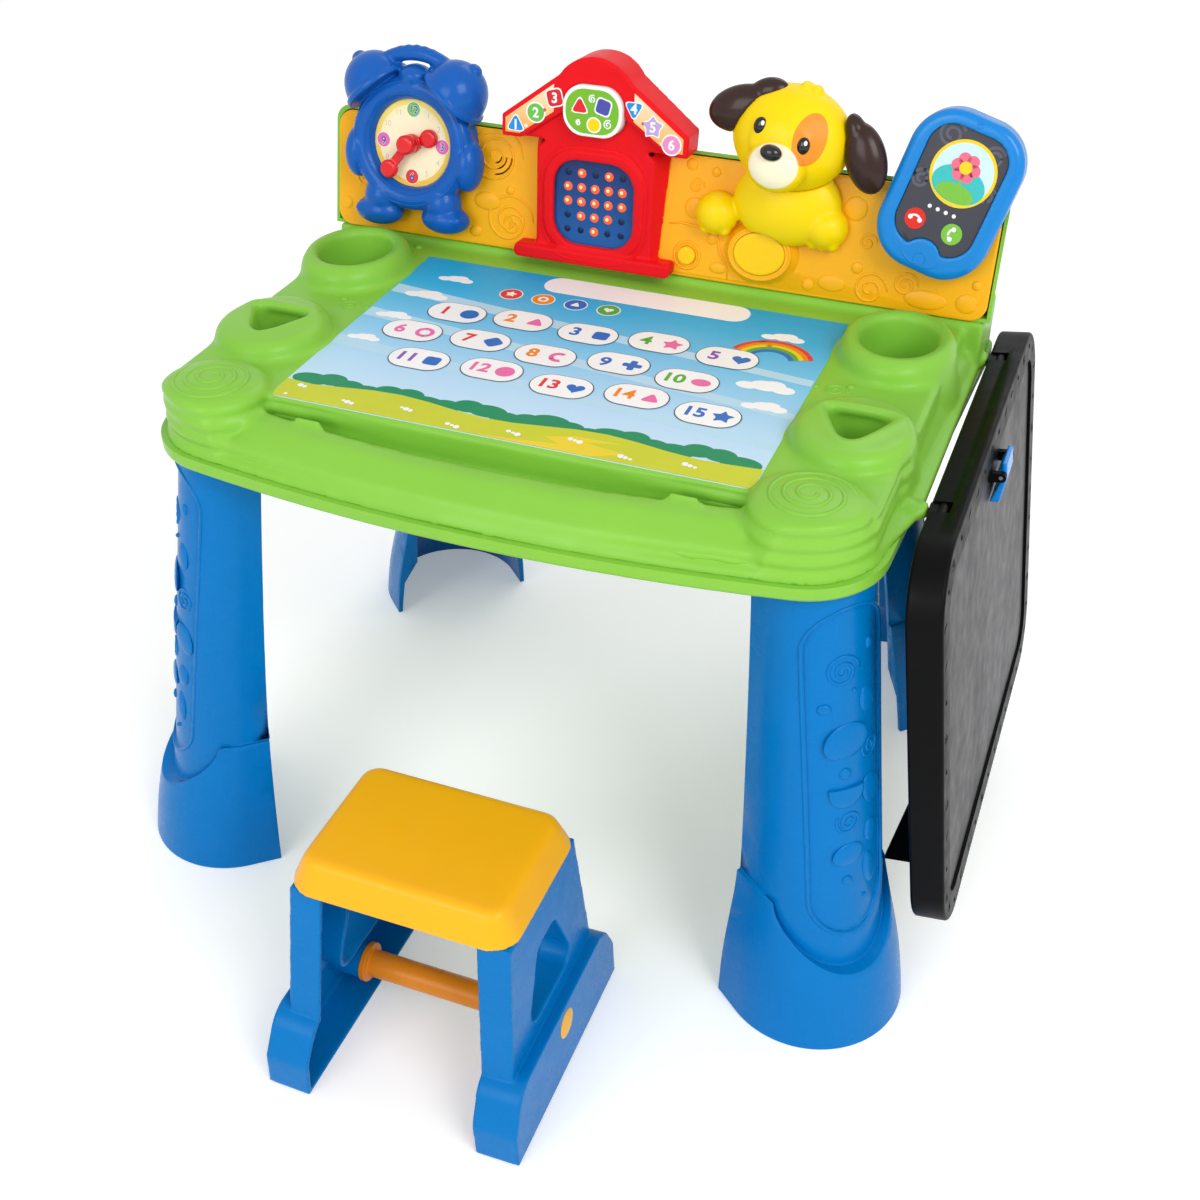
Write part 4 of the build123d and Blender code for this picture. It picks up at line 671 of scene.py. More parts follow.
def leg_shell(name, frame_matrix):
    piece = crisp(name, BLUE, "desk", 1.0)
    skin = skin_of(piece)
    domes = bmesh.new()
    for x, y, wide, tall, turn in LEG_PEBBLES:
        pebble(domes, skin, frame_matrix, x, y, (wide, tall, 2.2), turn)
    half = bmesh.new()
    pebble(half, skin, frame_matrix, *HALF_MOON, (15, 17, 2.4), 4)
    cut = frame_matrix.to_3x3() @ Vector((0, 1, 0))
    bmesh.ops.bisect_plane(
        half,
        geom=half.verts[:] + half.edges[:] + half.faces[:],
        plane_co=frame_matrix @ Vector((0, HALF_MOON_TOP, 0)),
        plane_no=cut,
        clear_outer=True,
    )
    bmesh.ops.holes_fill(half, edges=[e for e in half.edges if e.is_boundary])
    moon = bpy.data.meshes.new("half_moon")
    half.to_mesh(moon)
    half.free()
    domes.from_mesh(moon)
    keep(domes, f"{name}_pebbles", BLUE, "desk", (), 40)
    lines = []
    for index, (x, y, radius) in enumerate(LEG_SPIRALS):
        lines.append(hug(skin, frame_matrix, spiral(x, y, radius, 2.1, index * 1.3), 0.2))
    ridges(f"{name}_swirls", lines, 1.5, BLUE, "desk")
    bead = rounded(*BEAD)
    ridges(f"{name}_bead", [hug(skin, frame_matrix, bead + bead[:1], 0.4)], 1.7, BLUE, "desk")


# Console panel with its raised pattern
PANEL_SPIRALS = (
    (-144, 80, 27, 2.6),
    (-128, 26, 24, 2.2),
    (-124, 22, 11, 1.6),
    (-274, 44, 9, 1.6),
    (203, 14, 15, 2.0),
    (232, 22, 11, 1.8),
    (44, 78, 7, 1.3),
    (196, 52, 8, 1.4),
)
PANEL_PEBBLES = (
    (44, 60, 9, 9),
    (60, 92, 4, 4),
    (38, 96, 5, 5),
    (182, 78, 10, 10),
    (190, 30, 5, 5),
    (206, 62, 4, 4),
    (170, 14, 12, 7),
    (150, 10, 5, 5),
    (215, 88, 6, 6),
    (-150, 40, 13, 8),
    (-292, 20, 6, 6),
    (-286, 70, 7, 9),
    (-160, 12, 6, 5),
    (-128, 52, 4, 4),
    (250, 12, 18, 8),
    (284, 14, 9, 8),
    (290, 30, 4, 4),
    (62, 36, 5, 5),
    (70, 12, 8, 5),
)
PANEL_SEAM = ((22, 44), (34, 47), (48, 44), (60, 46), (68, 36), (70, 24), (80, 12), (79, 3))


def console_face():
    piece = crisp("console_front", ORANGE, "desk", 0)
    skin = skin_of(piece)
    lines = [hug(skin, CONSOLE, spiral(*swirl), 0.25) for swirl in PANEL_SPIRALS]
    lines.append(hug(skin, CONSOLE, ring(107, 31, 27, 22), 0.3))
    lines.append(hug(skin, CONSOLE, ring(41, 19, 11.5), 0.0))
    lines.append(hug(skin, CONSOLE, PANEL_SEAM, 0.2))
    ridges("panel_swirls", lines, 1.3, ORANGE, "desk")
    domes = bmesh.new()
    for x, y, wide, tall in PANEL_PEBBLES:
        pebble(domes, skin, CONSOLE, x, y, (wide, tall, 1.6))
    keep(domes, "panel_pebbles", ORANGE, "desk")


# Alarm clock
CLOCK_MIDDLE = 14.0
HANDLE_TOP = 80.0
HANDLE_FALL = 18.0
HANDLE_HALF = 42.0
GRIP_STEP = 7.5
BELL_LEAN = 40.0
BELL_TIP = 88.0
DIAL_LEVEL = 17.2
NUMBER_REACH = 29.0


def clock_shell():
    """The body with a gripped handle, bell tips and toes"""
    shape = node_copy("clock_body")
    for step in range(-2, 3):
        x = step * GRIP_STEP
        y = HANDLE_TOP - HANDLE_FALL * (x / HANDLE_HALF) ** 2
        ball(shape, CLOCK @ moved(x, y, CLOCK_MIDDLE), (4.4, 3.4, 5.0), 16)
    lean = math.radians(BELL_LEAN)
    for side in (-1, 1):
        x = side * BELL_TIP * math.sin(lean)
        y = BELL_TIP * math.cos(lean)
        ball(shape, CLOCK @ moved(x, y, CLOCK_MIDDLE, -side * BELL_LEAN), (7, 5, 7), 16)
        ball(shape, CLOCK @ moved(side * 46, -62, 20, side * 10), (8, 6, 9), 16)
    shape = moulded(shape, 1.0, 5)
    piece = keep(shape, "clock_shell", CLOCK_BLUE, "desk", ("clock_body",))
    skin = skin_of(piece)
    lines = [hug(skin, CLOCK, ring(0, 0, 43.5), 0.3), hug(skin, CLOCK, ring(0, 0, 53.5), 0.3)]
    ridges("clock_rings", lines, 0.9, CLOCK_BLUE, "desk")


def clock_face():
    dial = plastic("dial_cream", "FCE9A8", 0.4)
    painted(dial, CLOCK, [((0, 0, 0), (38, 38, 40), "FFF3CF", 0.35)])
    rim = banded("dial_rim", CLOCK, "Y", ((-38, "F8C64A"), (38, "FBE27A")), 0.4)
    crisp("clock_dial", rim, "desk", 0)
    inks = [dial, plastic("dial_green", "7AC142", 0.4), plastic("dial_pink", "E86CB0", 0.4)]
    inks += [plastic("dial_red", "EE3A2F", 0.4), WHITE, plastic("dial_blue", "2A5CB8", 0.4)]
    inks += [plastic("dial_grey", "D8C9AE", 0.4)]
    shape = bmesh.new()
    level = DIAL_LEVEL
    disc(shape, 0, 0, 33, level, 0)
    blobs = {12: 1, 3: 2, 6: 3, 9: 2}
    for hour in range(1, 13):
        angle = math.radians(90 - hour * 30)
        x = NUMBER_REACH * math.cos(angle)
        y = NUMBER_REACH * math.sin(angle)
        if hour in blobs:
            disc(shape, x, y, 6.8, level + 0.1, 4)
            disc(shape, x, y, 6.2, level + 0.2, blobs[hour])
            numeral(shape, str(hour), x, y - 0.3, 9.5, level + 0.32, 4, 0.045)
            numeral(shape, str(hour), x, y - 0.3, 9.5, level + 0.4, 5, 0.012)
        else:
            numeral(shape, str(hour), x, y, 7.0, level + 0.12, 4, 0.04)
            numeral(shape, str(hour), x, y, 7.0, level + 0.2, 6, 0.0)
    printed(shape, "dial_print", CLOCK, inks, "desk")
    for hand in ("hour_hand", "minute_hand"):
        shape = moulded(node_copy(hand), 0.5, 3)
        keep(shape, f"{hand}_shell", HAND_RED, hand, (hand,))
    shape = moulded(node_copy("clock_spindle"), 0.5, 3)
    keep(shape, "spindle_cap", HAND_RED, "desk", ("clock_spindle",))


# House
WINDOW_Y = 57.0
WINDOW_ARCH = (0, WINDOW_Y, 99, 99, 33)
BRICK_ROWS = (26, 48, 70, 92)
BRICK_X = 56.0
HEART_ROWS = ("01010", "11111", "11111", "01110", "00100")
LAMP_STEP = 12.5
BADGE_LEVEL = 10.0
STRIP_LEVEL = 7.0


def house_shell():
    shape = moulded(node_copy("house_front"), 1.2, 4)
    piece = keep(shape, "house_shell", RED, "desk", ("house_front",))
    skin = skin_of(piece)
    arch = rounded(*WINDOW_ARCH)
    lines = [hug(skin, HOUSE, arch + arch[:1], 0.2)]
    for y in BRICK_ROWS:
        lines.append(hug(skin, HOUSE, [(BRICK_X + step * 2, y) for step in range(7)], 0.3))
    ridges("house_lines", lines, 0.9, RED, "desk")


def inked_ball(shape, matrix, radii, segments, ink):
    first = len(shape.faces)
    ball(shape, matrix, radii, segments)
    shape.faces.ensure_lookup_table()
    for face in shape.faces[first:]:
        face.material_index = ink


def house_window():
    glass = banded("window_blue", HOUSE, "Y", ((20, "1B5FA5"), (94, "0B2A66")), 0.14)
    crisp("led_window", glass, "desk", 0)
    lit = glowing("lamp_lit", "F0562A", 0.55)
    core = glowing("lamp_core", "FFB98A", 0.9)
    dark = plastic("lamp_dark", "0A2450", 0.2)
    shape = bmesh.new()
    for row, word in enumerate(HEART_ROWS):
        for column, mark in enumerate(word):
            x = (column - 2) * LAMP_STEP
            y = WINDOW_Y + (2 - row) * LAMP_STEP
            if mark == "1":
                inked_ball(shape, moved(x, y, -3), (4.0, 4.0, 1.1), 20, 0)
                inked_ball(shape, moved(x - 0.4, y + 0.4, -2.5), (1.9, 1.9, 0.9), 16, 1)
            else:
                inked_ball(shape, moved(x, y, -3), (3.0, 3.0, 0.7), 20, 2)
    bmesh.ops.transform(shape, matrix=HOUSE, verts=shape.verts)
    keep(shape, "lamp_domes", [lit, core, dark], "desk")


def house_badge():
    green = plastic("badge_green", "76B82A", 0.3)
    inks = [WHITE, green, plastic("badge_red", "E4202B", 0.3)]
    inks += [plastic("badge_violet", "4B4FA8", 0.3), plastic("badge_yellow", "FFD400", 0.3)]
    crisp("mode_button", WHITE, "mode_button", 0)
    shape = bmesh.new()
    level = BADGE_LEVEL
    plate(shape, rounded(0, 138, 47.5, 36.5, 16.5), level, 1)
    plate(shape, polygon(-11, 141, 10.5, 3), level + INK, 0)
    plate(shape, polygon(-11, 141, 8.6, 3), level + INK * 2, 2)
    plate(shape, polygon(10, 143, 10.2, 4, 30), level + INK, 0)
    plate(shape, polygon(10, 143, 8.4, 4, 30), level + INK * 2, 3)
    disc(shape, 2, 127.5, 6.6, level + INK, 0)
    disc(shape, 2, 127.5, 5.4, level + INK * 2, 4)
    for x, y, radius in ((0, 148.5, 3.4), (14.5, 129, 4), (-12, 128, 2.4)):
        stroke(shape, spiral(x, y, radius, 1.6, 1.0, 1.0, 0.2), 1.1, level + INK, 0)
    printed(shape, "badge_print", HOUSE, inks, "mode_button")


STRIP_TILES = (
    (-70.5, 119, "1", 3, 90, 2),
    (-52, 131, "2", 0, 0, 3),
    (-35, 145, "3", 4, 60, 4),
    (36, 144, "4", 3, -90, 2),
    (53, 131, "5", 5, 90, 5),
    (70, 118.5, "6", 0, 0, 6),
)


def house_strips():
    stops = ((108, "F79A2A"), (132, "FBC98A"), (160, "FDE9D2"))
    peach = banded("strip_peach", HOUSE, "Y", stops, 0.35)
    for node in ("number_strip_left", "number_strip_right"):
        crisp(node, peach, "desk", 0)
    inks = [WHITE, plastic("tile_coral", "E8553C", 0.35), plastic("tile_blue", "1E8FDB", 0.35)]
    inks += [plastic("tile_green", "6DBE45", 0.35), plastic("tile_red", "DA1F2E", 0.35)]
    inks += [plastic("tile_lilac", "C3A3DC", 0.35), plastic("tile_pink", "EC8FC4", 0.35)]
    shape = bmesh.new()
    level = STRIP_LEVEL
    for x, y, word, corners, turn, ink in STRIP_TILES:
        for radius, colour, step in ((9.6, 0, 0.0), (8.2, ink, INK)):
            if corners == 0:
                disc(shape, x, y, radius * 0.92, level + step, colour)
            elif corners == 5:
                plate(shape, polygon(x, y, radius * 1.12, 5, turn, 0.62), level + step, colour)
            else:
                plate(shape, polygon(x, y, radius * 1.14, corners, turn), level + step, colour)
        numeral(shape, word, x, y - 0.4, 11.5, level + INK * 2, 0, 0.03)
    for x, y, ink in ((-44, 139, 1), (44.5, 138, 1), (-61, 124, 0), (61.5, 123.5, 0)):
        disc(shape, x, y - 5, 1.5, level, ink)
    printed(shape, "strip_print", HOUSE, inks, "desk")


# Puppy
def puppy():
    coat = plastic("puppy_coat", "FFD800", 0.36)
    painted(
        coat,
        HEAD,
        [
            ((20.5, 6.5, 30), (12.8, 20.5, 40), "F0942A", 0.02),
            ((-1, -19, 36), (20.5, 17.5, 22), "FFF3D2", 0.03),
        ],
    )
    head = node_copy("dog_head")
    for x, y, turn in ((2, 41, 8), (11, 40, -14)):
        ball(head, HEAD @ moved(x, y, 2, turn), (5.5, 5, 9), 16)
    ball(head, HEAD @ moved(-1, -2, 24), (30, 26, 12), 24)
    head = moulded(head, 1.1, 8)
    keep(head, "puppy_head", coat, "desk", ("dog_head",))
    ears = {
        "dog_ear_left": ((-26, 31, 8, 22), (17, 11, 9)),
        "dog_ear_right": ((52, 17, 8, 30), (9, 17, 9)),
    }
    for name, (spot, radii) in ears.items():
        shape = node_copy(name)
        ball(shape, HEAD @ moved(*spot), radii, 24)
        shape = moulded(shape, 1.0, 8)
        keep(shape, f"{name}_shell", BROWN, "desk", (name,))
    body = node_copy("dog_body")
    for x in (66, 160):
        for step in (-1, 0, 1):
            ball(body, CONSOLE @ moved(x + step * 8.5, 47.5, 12), (5.2, 6.5, 6.5), 16)
    body = moulded(body, 1.1, 6)
    keep(body, "puppy_body", YELLOW, "desk", ("dog_body",))
    eyes = moulded(node_copy("dog_eyes"), 0.5, 2)
    piece = keep(eyes, "puppy_eyes", EYE, "desk", ("dog_eyes",))
    sight = skin_of(piece)
    glints = bmesh.new()
    for x, y in ((-19, 10), (19.2, 4)):
        pebble(glints, sight, HEAD, x, y, (1.5, 2.0, 0.5))
    keep(glints, "eye_glints", WHITE, "desk")
    nose = moulded(node_copy("dog_nose"), 0.5, 3)
    keep(nose, "puppy_nose", EYE, "desk", ("dog_nose",))
    for name in ("dog_button", "small_button"):
        shape = moulded(node_copy(name), 0.7, 3)
        keep(shape, f"{name}_cap", plastic(f"{name}_yellow", "FFCB05", 0.3), name, (name,))


# Play phone
SCREEN_LEVEL = 21.0
PICTURE = (3, 20)
FLOWER = (3, 25)
CALL_Y = -26.0


def phone():
    bezel = moulded(node_copy("phone_bezel"), 0.9, 5)
    piece = keep(bezel, "phone_bezel_shell", PHONE_BLUE, "desk", ("phone_bezel",))
    skin = skin_of(piece)
    lines = [hug(skin, PHONE, spiral(0, 58.5, 3.6, 1.6), 0.2)]
    lines.append(hug(skin, PHONE, ring(0, -53, 5.0), 0.2))
    lines.append(hug(skin, PHONE, ring(0, -47, 18, 12, 200, 140), 0.2))
    ridges("phone_lines", lines, 0.7, PHONE_BLUE, "desk")
    crisp("phone_back", PHONE_BLUE, "desk", 0.8)
    glass = plastic("phone_glass", "3E3E48", 0.2, coat=0.3)
    crisp("phone_screen", glass, "phone_screen", 0.3)
    inks = [WHITE, plastic("ring_yellow", "FFD21A", 0.3), plastic("picture_teal", "3DBFC0", 0.3)]
    inks += [plastic("picture_pink", "F0708A", 0.3), plastic("picture_green", "7CC142", 0.3)]
    inks += [plastic("call_red", "E5281F", 0.3), plastic("screen_grey", "5A5A66", 0.3)]
    inks += [plastic("picture_sky", "CFEBF2", 0.3)]
    shape = bmesh.new()
    level = SCREEN_LEVEL
    for x, y, radius in ((-18, 44, 11), (20, 40, 9), (-26, 4, 8), (27, 12, 7)):
        stroke(shape, spiral(x, y, radius, 1.7, 0.6, 1.0, 0.25), 2.4, level, 6)
    x, y = PICTURE
    disc(shape, x, y, 26.5, level + INK, 1)
    disc(shape, x, y, 24, level + INK * 2, 7)
    disc(shape, x, y - 9, 21.8, level + INK * 2.6, 2, 14.6)
    disc(shape, x, y - 16, 15.5, level + INK * 3.2, 4, 7.5)
    stroke(shape, [(3, 6), (3.4, 12), (3, 18), (3, 24)], 2.2, level + INK * 3.8, 4)
    x, y = FLOWER
    for petal in range(6):
        angle = math.tau * petal / 6
        disc(shape, x + 7 * math.cos(angle), y + 7 * math.sin(angle), 5.0, level + INK * 4.4, 3)
    disc(shape, x, y, 5.0, level + INK * 5.4, 1)
    for step in range(4):
        disc(shape, -10.5 + step * 7, -12.5, 1.6, level + INK, 0)
    for x, ink, turn in ((-17, 5, 90), (15, 4, 180)):
        disc(shape, x, CALL_Y, 8.4, level + INK, ink)
        line = ring(x, CALL_Y, 5.2, 5.2, turn - 60, 120)
        shift = Vector((math.cos(math.radians(turn)), math.sin(math.radians(turn)))) * 2.6
        line = [(px - shift.x, py - shift.y) for px, py in line]
        stroke(shape, line, 1.7, level + INK * 2, 0)
        for end in (line[1], line[-2]):
            disc(shape, end[0] - shift.x * 0.3, end[1] - shift.y * 0.3, 1.9, level + INK * 2.4, 0)
    printed(shape, "phone_print", PHONE, inks, "phone_screen")


# Side board
BOARD_SIZE = (436.0, 352.0)
BOARD_RIM = 11.0
BOARD_ROUND = 41.0
BOARD_TOP = 6.5
DOODLES = 46


def side_board():
    crisp("board_back", BLACK, "side_board", 0)
    rim = crisp("board_frame", BLACK, "side_board", 0)
    slate = plastic("slate_grey", "5E5E60", 0.5, 0.05)
    tree = slate.node_tree
    shader = tree.nodes["Principled BSDF"]
    spot = next(n for n in tree.nodes if n.type == "TEX_COORD")
    vector = local_spot(tree, spot, BOARD, (0, 0, 0))
    stretch = tree.nodes.new("ShaderNodeMapping")
    stretch.inputs["Scale"].default_value = (0.018, 0.005, 0.02)
    stretch.inputs["Rotation"].default_value = (0, 0, 0.35)
    link(tree, vector, stretch.inputs["Vector"])
    smear = tree.nodes.new("ShaderNodeTexNoise")
    smear.inputs["Scale"].default_value = 1.0
    smear.inputs["Detail"].default_value = 4.0
    link(tree, stretch.outputs["Vector"], smear.inputs["Vector"])
    dust = ranged(tree, smear.outputs["Fac"], 0.35, 0.7, 0.0, 1.0, True)
    link(tree, blend(tree, dust, tint("3E3E40"), tint("555557")), shader.inputs["Base Color"])
    crisp("writing_surface", slate, "side_board", 0)
    skin = skin_of(rim)
    lines = []
    for index in range(DOODLES):
        x, y = border_spot(index / DOODLES)
        kind = index % 5
        sink = 0.2
        if kind == 0:
            line = spiral(x, y, 5.5, 1.6, index)
            sink = 0.3
        elif kind == 2:
            line = ring(x, y, 5, 3, index * 40, 190)
        elif kind == 3:
            line = [(x - 4, y - 3), (x - 1, y), (x + 2, y + 1), (x + 5, y + 4)]
        else:
            line = ring(x, y, 1.8)
        lines.append(hug(skin, BOARD, line, sink))
    ridges("board_doodles", lines, 0.6, BLACK, "side_board")
    shape = moulded(node_copy("board_clip"), 0.7, 4)
    clip_blue = plastic("clip_blue", "0C8EE6", 0.25, coat=0.2)
    keep(shape, "clip_shell", clip_blue, "clip", ("board_clip",))


def border_spot(share):
    """A point along the middle of the board's frame"""
    half_x = BOARD_SIZE[0] / 2 - BOARD_RIM
    half_y = BOARD_SIZE[1] / 2 - BOARD_RIM
    low = BOARD_TOP - BOARD_SIZE[1] / 2
    span = (half_x + half_y) * 4
    along = share * span
    for start, end in (
        ((-half_x, -half_y), (half_x, -half_y)),
        ((half_x, -half_y), (half_x, half_y)),
        ((half_x, half_y), (-half_x, half_y)),
        ((-half_x, half_y), (-half_x, -half_y)),
    ):
        length = math.dist(start, end)
        if along <= length:
            part = along / length
            x = start[0] + (end[0] - start[0]) * part
            y = start[1] + (end[1] - start[1]) * part
            corner_x = max(abs(x) - (half_x - BOARD_ROUND), 0)
            corner_y = max(abs(y) - (half_y - BOARD_ROUND), 0)
            reach = math.hypot(corner_x, corner_y)
            if reach > BOARD_ROUND:
                x = math.copysign(half_x - BOARD_ROUND + corner_x * BOARD_ROUND / reach, x)
                y = math.copysign(half_y - BOARD_ROUND + corner_y * BOARD_ROUND / reach, y)
            return x, y + low
        along -= length
    return 0, low


# Stool
BAR_CAP = (104.4, 48.0)
STOOL_LEAN = 2.8


def stool():
    seat = moulded(node_copy("stool_seat"), 1.7, 8)
    keep(seat, "stool_seat_shell", SEAT, "stool", ("stool_seat",))
    for side in ("stool_side_left", "stool_side_right"):
        shape = moulded(node_copy(side), 1.5, 3, 7)
        keep(shape, f"{side}_shell", BLUE, "stool", (side,))
    # The bar gets the seat's orange darkened as painted shade
    crisp("stool_bar", BAR_PAINTED_SHADE, "stool", 0.8)
    caps = bmesh.new()
    for side in (-1, 1):
        lean = Matrix.Rotation(math.radians(-STOOL_LEAN * side), 4, "Y")
        ball(caps, STOOL @ moved(side * BAR_CAP[0], 0, BAR_CAP[1]) @ lean, (1.8, 12.5, 12.5))
    keep(caps, "bar_caps", SEAT, "stool")


# Printed activity sheet in its recess
TILES = (
    (-120, 42, "1", "circle"),
    (-62, 48, "2", "triangle"),
    (-2, 44, "3", "square"),
    (58, 50, "4", "star"),
    (118, 44, "5", "heart"),
    (-140, -2, "6", "ring"),
    (-80, 2, "7", "diamond"),
    (-20, -4, "8", "moon"),
    (40, 4, "9", "cross"),
    (100, -4, "10", "oval"),
    (-112, -46, "11", "square"),
    (-50, -42, "12", "circle"),
    (12, -48, "13", "heart"),
    (72, -42, "14", "triangle"),
    (132, -50, "15", "star"),
)
CLOUDS = (
    (-160, 66, 11),
    (-168, 20, 9),
    (-172, -26, 8),
    (160, 10, 13),
    (168, -22, 10),
    (150, 96, 10),
    (-150, 104, 9),
)
CLOUD_PUFFS = ((0, 0, 1.0), (-1.1, -0.25, 0.7), (1.1, -0.2, 0.75), (0.45, 0.3, 0.7))
HAZE_BANDS = ((70, -6), (20, -7), (-36, -6))
HAZE_WIDTH = 386.0
SHEET_EDGE = (193.5, 139.5)
GROUND_TOP = -112.0
PATH = (
    (-20, -139.4),
    (70, -139.4),
    (96, -128),
    (60, -122),
    (88, -115),
    (52, -116),
    (30, -124),
    (44, -131),
)
RAINBOW = (150, 52)
RAINBOW_RADII = (34, 30, 26, 22, 18)
TITLE_BAND = (20, 124, 186, 30, 14)
ROUND_KEYS = (
    (-92, "red", "star"),
    (-62, "orange", "ring"),
    (-32, "blue", "triangle"),
    (-2, "green", "heart"),
)
ROUND_KEY_Y = 92.0
INK_CODES = {
    "white": "F8F8F6",
    "hedge": "0E8A5C",
    "meadow": "C9CE2E",
    "path": "EAD02F",
    "red": "E33B3B",
    "orange": "F18A1F",
    "blue": "2D6FC1",
    "green": "57AE3C",
    "violet": "8B57B5",
    "pink": "EC6FA9",
    "haze": "B8DDF0",
    "outline": "34414E",
}
PRINT = {name: index for index, name in enumerate(INK_CODES)}
BRIGHT_INKS = 6


def shape_on(shape, kind, x, y, size, level, ink):
    if kind in ("circle", "oval"):
        disc(shape, x, y, size, level, ink, size * (0.7 if kind == "oval" else 1.0))
    elif kind == "triangle":
        plate(shape, polygon(x, y - size * 0.1, size * 1.15, 3), level, ink)
    elif kind == "square":
        plate(shape, polygon(x, y, size * 1.2, 4, 45), level, ink)
    elif kind == "diamond":
        plate(shape, polygon(x, y, size * 1.2, 4, 0), level, ink)
    elif kind == "star":
        plate(shape, polygon(x, y, size * 1.2, 5, 90, 0.5), level, ink)
    elif kind == "heart":
        plate(shape, heart(x, y, size), level, ink)
    elif kind == "ring":
        stroke(shape, ring(x, y, size * 0.8), size * 0.45, level, ink)
    elif kind == "moon":
        stroke(shape, ring(x, y, size * 0.75, size * 0.75, 60, 240), size * 0.5, level, ink)
    else:
        plate(shape, rounded(x, y, size * 2, size * 0.7, size * 0.2), level, ink)
        plate(shape, rounded(x, y, size * 0.7, size * 2, size * 0.2), level + 0.02, ink)


def landscape(shape):
    """Sky haze, clouds, hedge, meadow, path, daisies and a rainbow"""
    for y, turn in HAZE_BANDS:
        drop = math.tan(math.radians(turn)) * HAZE_WIDTH
        band = [(-193, y + 8), (-193, y - 8), (193, y - 8 + drop), (193, y + 2 + drop)]
        plate(shape, band, 0.02, PRINT["haze"], 0.04)
    for x, y, size in CLOUDS:
        for part_x, part_y, part in CLOUD_PUFFS:
            spot = (x + part_x * size, y + part_y * size)
            disc(shape, *spot, part * size, 0.1 + part * 0.02, PRINT["white"], part * size * 0.62)
    for step in range(22):
        x = -176 + step * 16.75
        y = -106 + 4 * math.sin(step * 1.7)
        disc(shape, x, y, 12.5 if step % 3 else 16, 0.1 + step % 2 * 0.02, PRINT["hedge"], 9)
    edge_x, edge_y = SHEET_EDGE
    ground = [(-edge_x, -edge_y), (edge_x, -edge_y), (edge_x, GROUND_TOP)]
    ground += [(edge_x - step * 24.2, -110 - 5 * math.sin(step * 0.9)) for step in range(1, 16)]
    ground.append((-edge_x, GROUND_TOP))
    plate(shape, ground, 0.2, PRINT["meadow"])
    plate(shape, PATH, 0.34, PRINT["path"])
    for step in range(24):
        x = -182 + (step * 137) % 364
        y = -135 + (step * 53) % 17
        disc(shape, x, y, 1.5 + step % 3 * 0.5, 0.5, PRINT["white"])
    bows = ("red", "orange", "path", "green", "blue")
    for index, radius in enumerate(RAINBOW_RADII):
        bow = ring(*RAINBOW, radius, radius, 20, 140)
        stroke(shape, bow, 4.2, 0.15 + index * 0.012, PRINT[bows[index]])


def activity_sheet():
    stops = ((-140, "CFE6F7"), (-60, "B6DCF5"), (20, "7CC8EE"), (90, "35B4E4"), (140, "12A5DC"))
    crisp("activity_sheet", banded("sheet_sky", SHEET, "Y", stops, 0.42), "sheet", 0)
    inks = [plastic(f"sheet_ink_{index}", code, 0.42) for index, code in enumerate(INK_CODES.values())]
    shape = bmesh.new()
    landscape(shape)
    plate(shape, rounded(*TITLE_BAND), 0.3, PRINT["white"])
    for x, ink, kind in ROUND_KEYS:
        disc(shape, x, ROUND_KEY_Y, 10.5, 0.3, PRINT["white"])
        disc(shape, x, ROUND_KEY_Y, 9.4, 0.44, PRINT[ink])
        shape_on(shape, kind, x, ROUND_KEY_Y, 4.6, 0.58, PRINT["white"])
    for index, (x, y, word, kind) in enumerate(TILES):
        plate(shape, rounded(x, y, 52, 34, 16.5), 0.3, PRINT["outline"])
        plate(shape, rounded(x, y, 50.4, 32.4, 15.8), 0.44, PRINT["white"])
        numeral(shape, word, x - 11, y, 19, 0.6, PRINT["red"] + index % BRIGHT_INKS, 0.03)
        shape_on(shape, kind, x + 11.5, y, 8.0, 0.6, PRINT["red"] + (index * 3 + 2) % BRIGHT_INKS)
    printed(shape, "sheet_print", SHEET, inks, "sheet")


# The rest of the shells and small parts
def plain_parts():
    crisp("desk_base", GREEN, "desk", 0)
    crisp("console_back", GREEN, "desk", 0, 14)
    crisp("battery_door", GREEN, "desk", 0.4)
    looks = {
        "touch_panel": CIRCUIT,
        "main_board": CIRCUIT,
        "led_board": CIRCUIT,
        "battery_cells": CELL,
        "speaker": CELL,
        "hinge_brackets": BLACK,
        "led_lamps": WHITE,
    }
    steel = ["case_screws", "leg_screws", "console_screws", "battery_door_screw"]
    steel += ["battery_contacts", "stool_screws", "hinge_pins", "clip_pin"]
    for name in steel:
        looks[name] = STEEL
    for name, material in looks.items():
        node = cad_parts[name]
        node.data.materials.clear()
        node.data.materials.append(material)


# Studio
WORLD_LEVEL = 0.6
FLOOR_GLOW = 0.26
FLOOR_SIZE = 12.0
CAMERA_SPOT = (0.40977, -0.98493, 1.0178)
CAMERA_TILT = 54.07
CAMERA_TURN = 21.07
CAMERA_LENS = 46.2
LAMP_AIM = Vector((0, 0, 0.35))
LAMPS = (
    ("key", (3.0, -2.3, 3.2), 2.2, 92),
    ("front", (-1.1, -4.4, 2.5), 2.6, 70),
    ("back", (0.4, 3.0, 3.0), 2.0, 20),
)


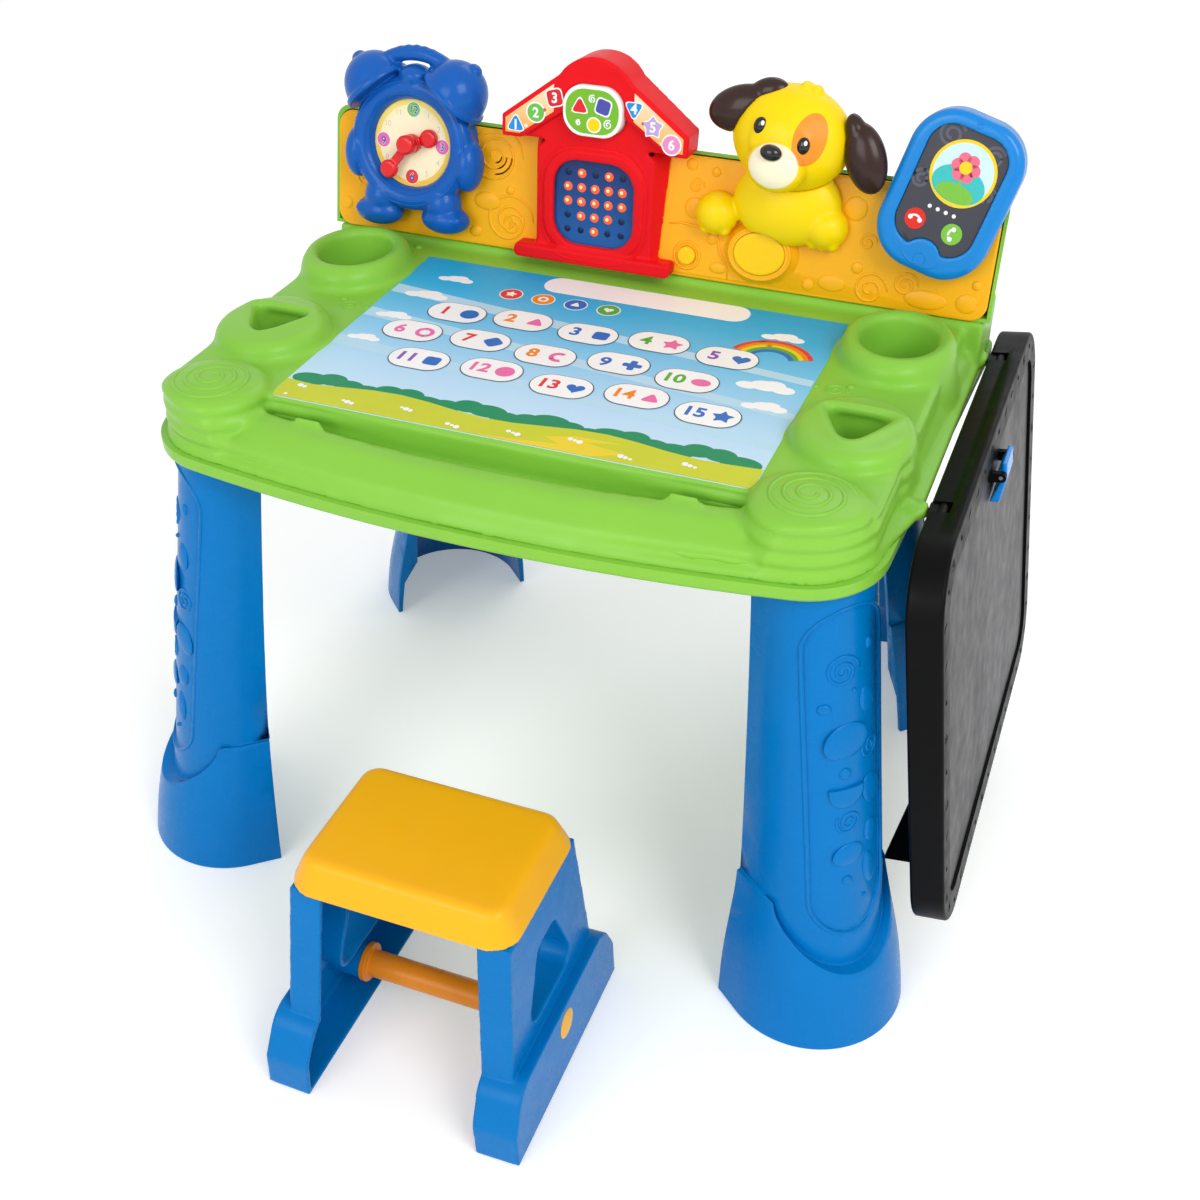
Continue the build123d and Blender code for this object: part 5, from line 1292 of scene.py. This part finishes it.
def seen_directly(tree):
    """One for what the camera, a reflection or a clear part sees"""
    path = tree.nodes.new("ShaderNodeLightPath")
    total = path.outputs["Is Camera Ray"]
    for name in ("Is Glossy Ray", "Is Transmission Ray"):
        node = tree.nodes.new("ShaderNodeMath")
        node.operation = "MAXIMUM"
        link(tree, total, node.inputs[0])
        link(tree, path.outputs[name], node.inputs[1])
        total = node.outputs["Value"]
    return total


def studio():
    lens = bpy.data.cameras.new("camera")
    lens.lens = CAMERA_LENS
    lens.sensor_width = 36.0
    camera = bpy.data.objects.new("camera", lens)
    camera.location = CAMERA_SPOT
    camera.rotation_euler = (math.radians(CAMERA_TILT), 0, math.radians(CAMERA_TURN))
    scene.collection.objects.link(camera)
    scene.camera = camera
    shape = bmesh.new()
    bmesh.ops.create_grid(shape, x_segments=1, y_segments=1, size=FLOOR_SIZE)
    mesh = bpy.data.meshes.new("floor")
    shape.to_mesh(mesh)
    shape.free()
    floor = bpy.data.objects.new("floor", mesh)
    mesh.materials.append(plastic("floor_white", "FAFAFA", 0.9, 0.0, mottle=0.0))
    scene.collection.objects.link(floor)
    tree = floor.active_material.node_tree
    seen = seen_directly(tree)
    shader = tree.nodes["Principled BSDF"]
    shader.inputs["Emission Color"].default_value = (1, 1, 1, 1)
    glow = ranged(tree, seen, 0.0, 1.0, 0.0, FLOOR_GLOW)
    link(tree, glow, shader.inputs["Emission Strength"])
    world = bpy.data.worlds.new("studio")
    world.use_nodes = True
    tree = world.node_tree
    sky = tree.nodes["Background"]
    sky.inputs["Color"].default_value = (1, 1, 1, 1)
    level = ranged(tree, seen_directly(tree), 0.0, 1.0, WORLD_LEVEL, 1.0)
    link(tree, level, sky.inputs["Strength"])
    scene.world = world
    for name, spot, size, power in LAMPS:
        data = bpy.data.lights.new(name, "AREA")
        data.energy = power
        data.size = size
        lamp = bpy.data.objects.new(name, data)
        lamp.location = spot
        lamp.rotation_euler = (LAMP_AIM - Vector(spot)).to_track_quat("-Z", "Y").to_euler()
        scene.collection.objects.link(lamp)


studio()
desk_shell()
for leg_name, leg_frame in LEGS.items():
    leg_shell(leg_name, leg_frame)
console_face()
clock_shell()
clock_face()
house_shell()
house_window()
house_badge()
house_strips()
puppy()
phone()
side_board()
stool()
activity_sheet()
plain_parts()
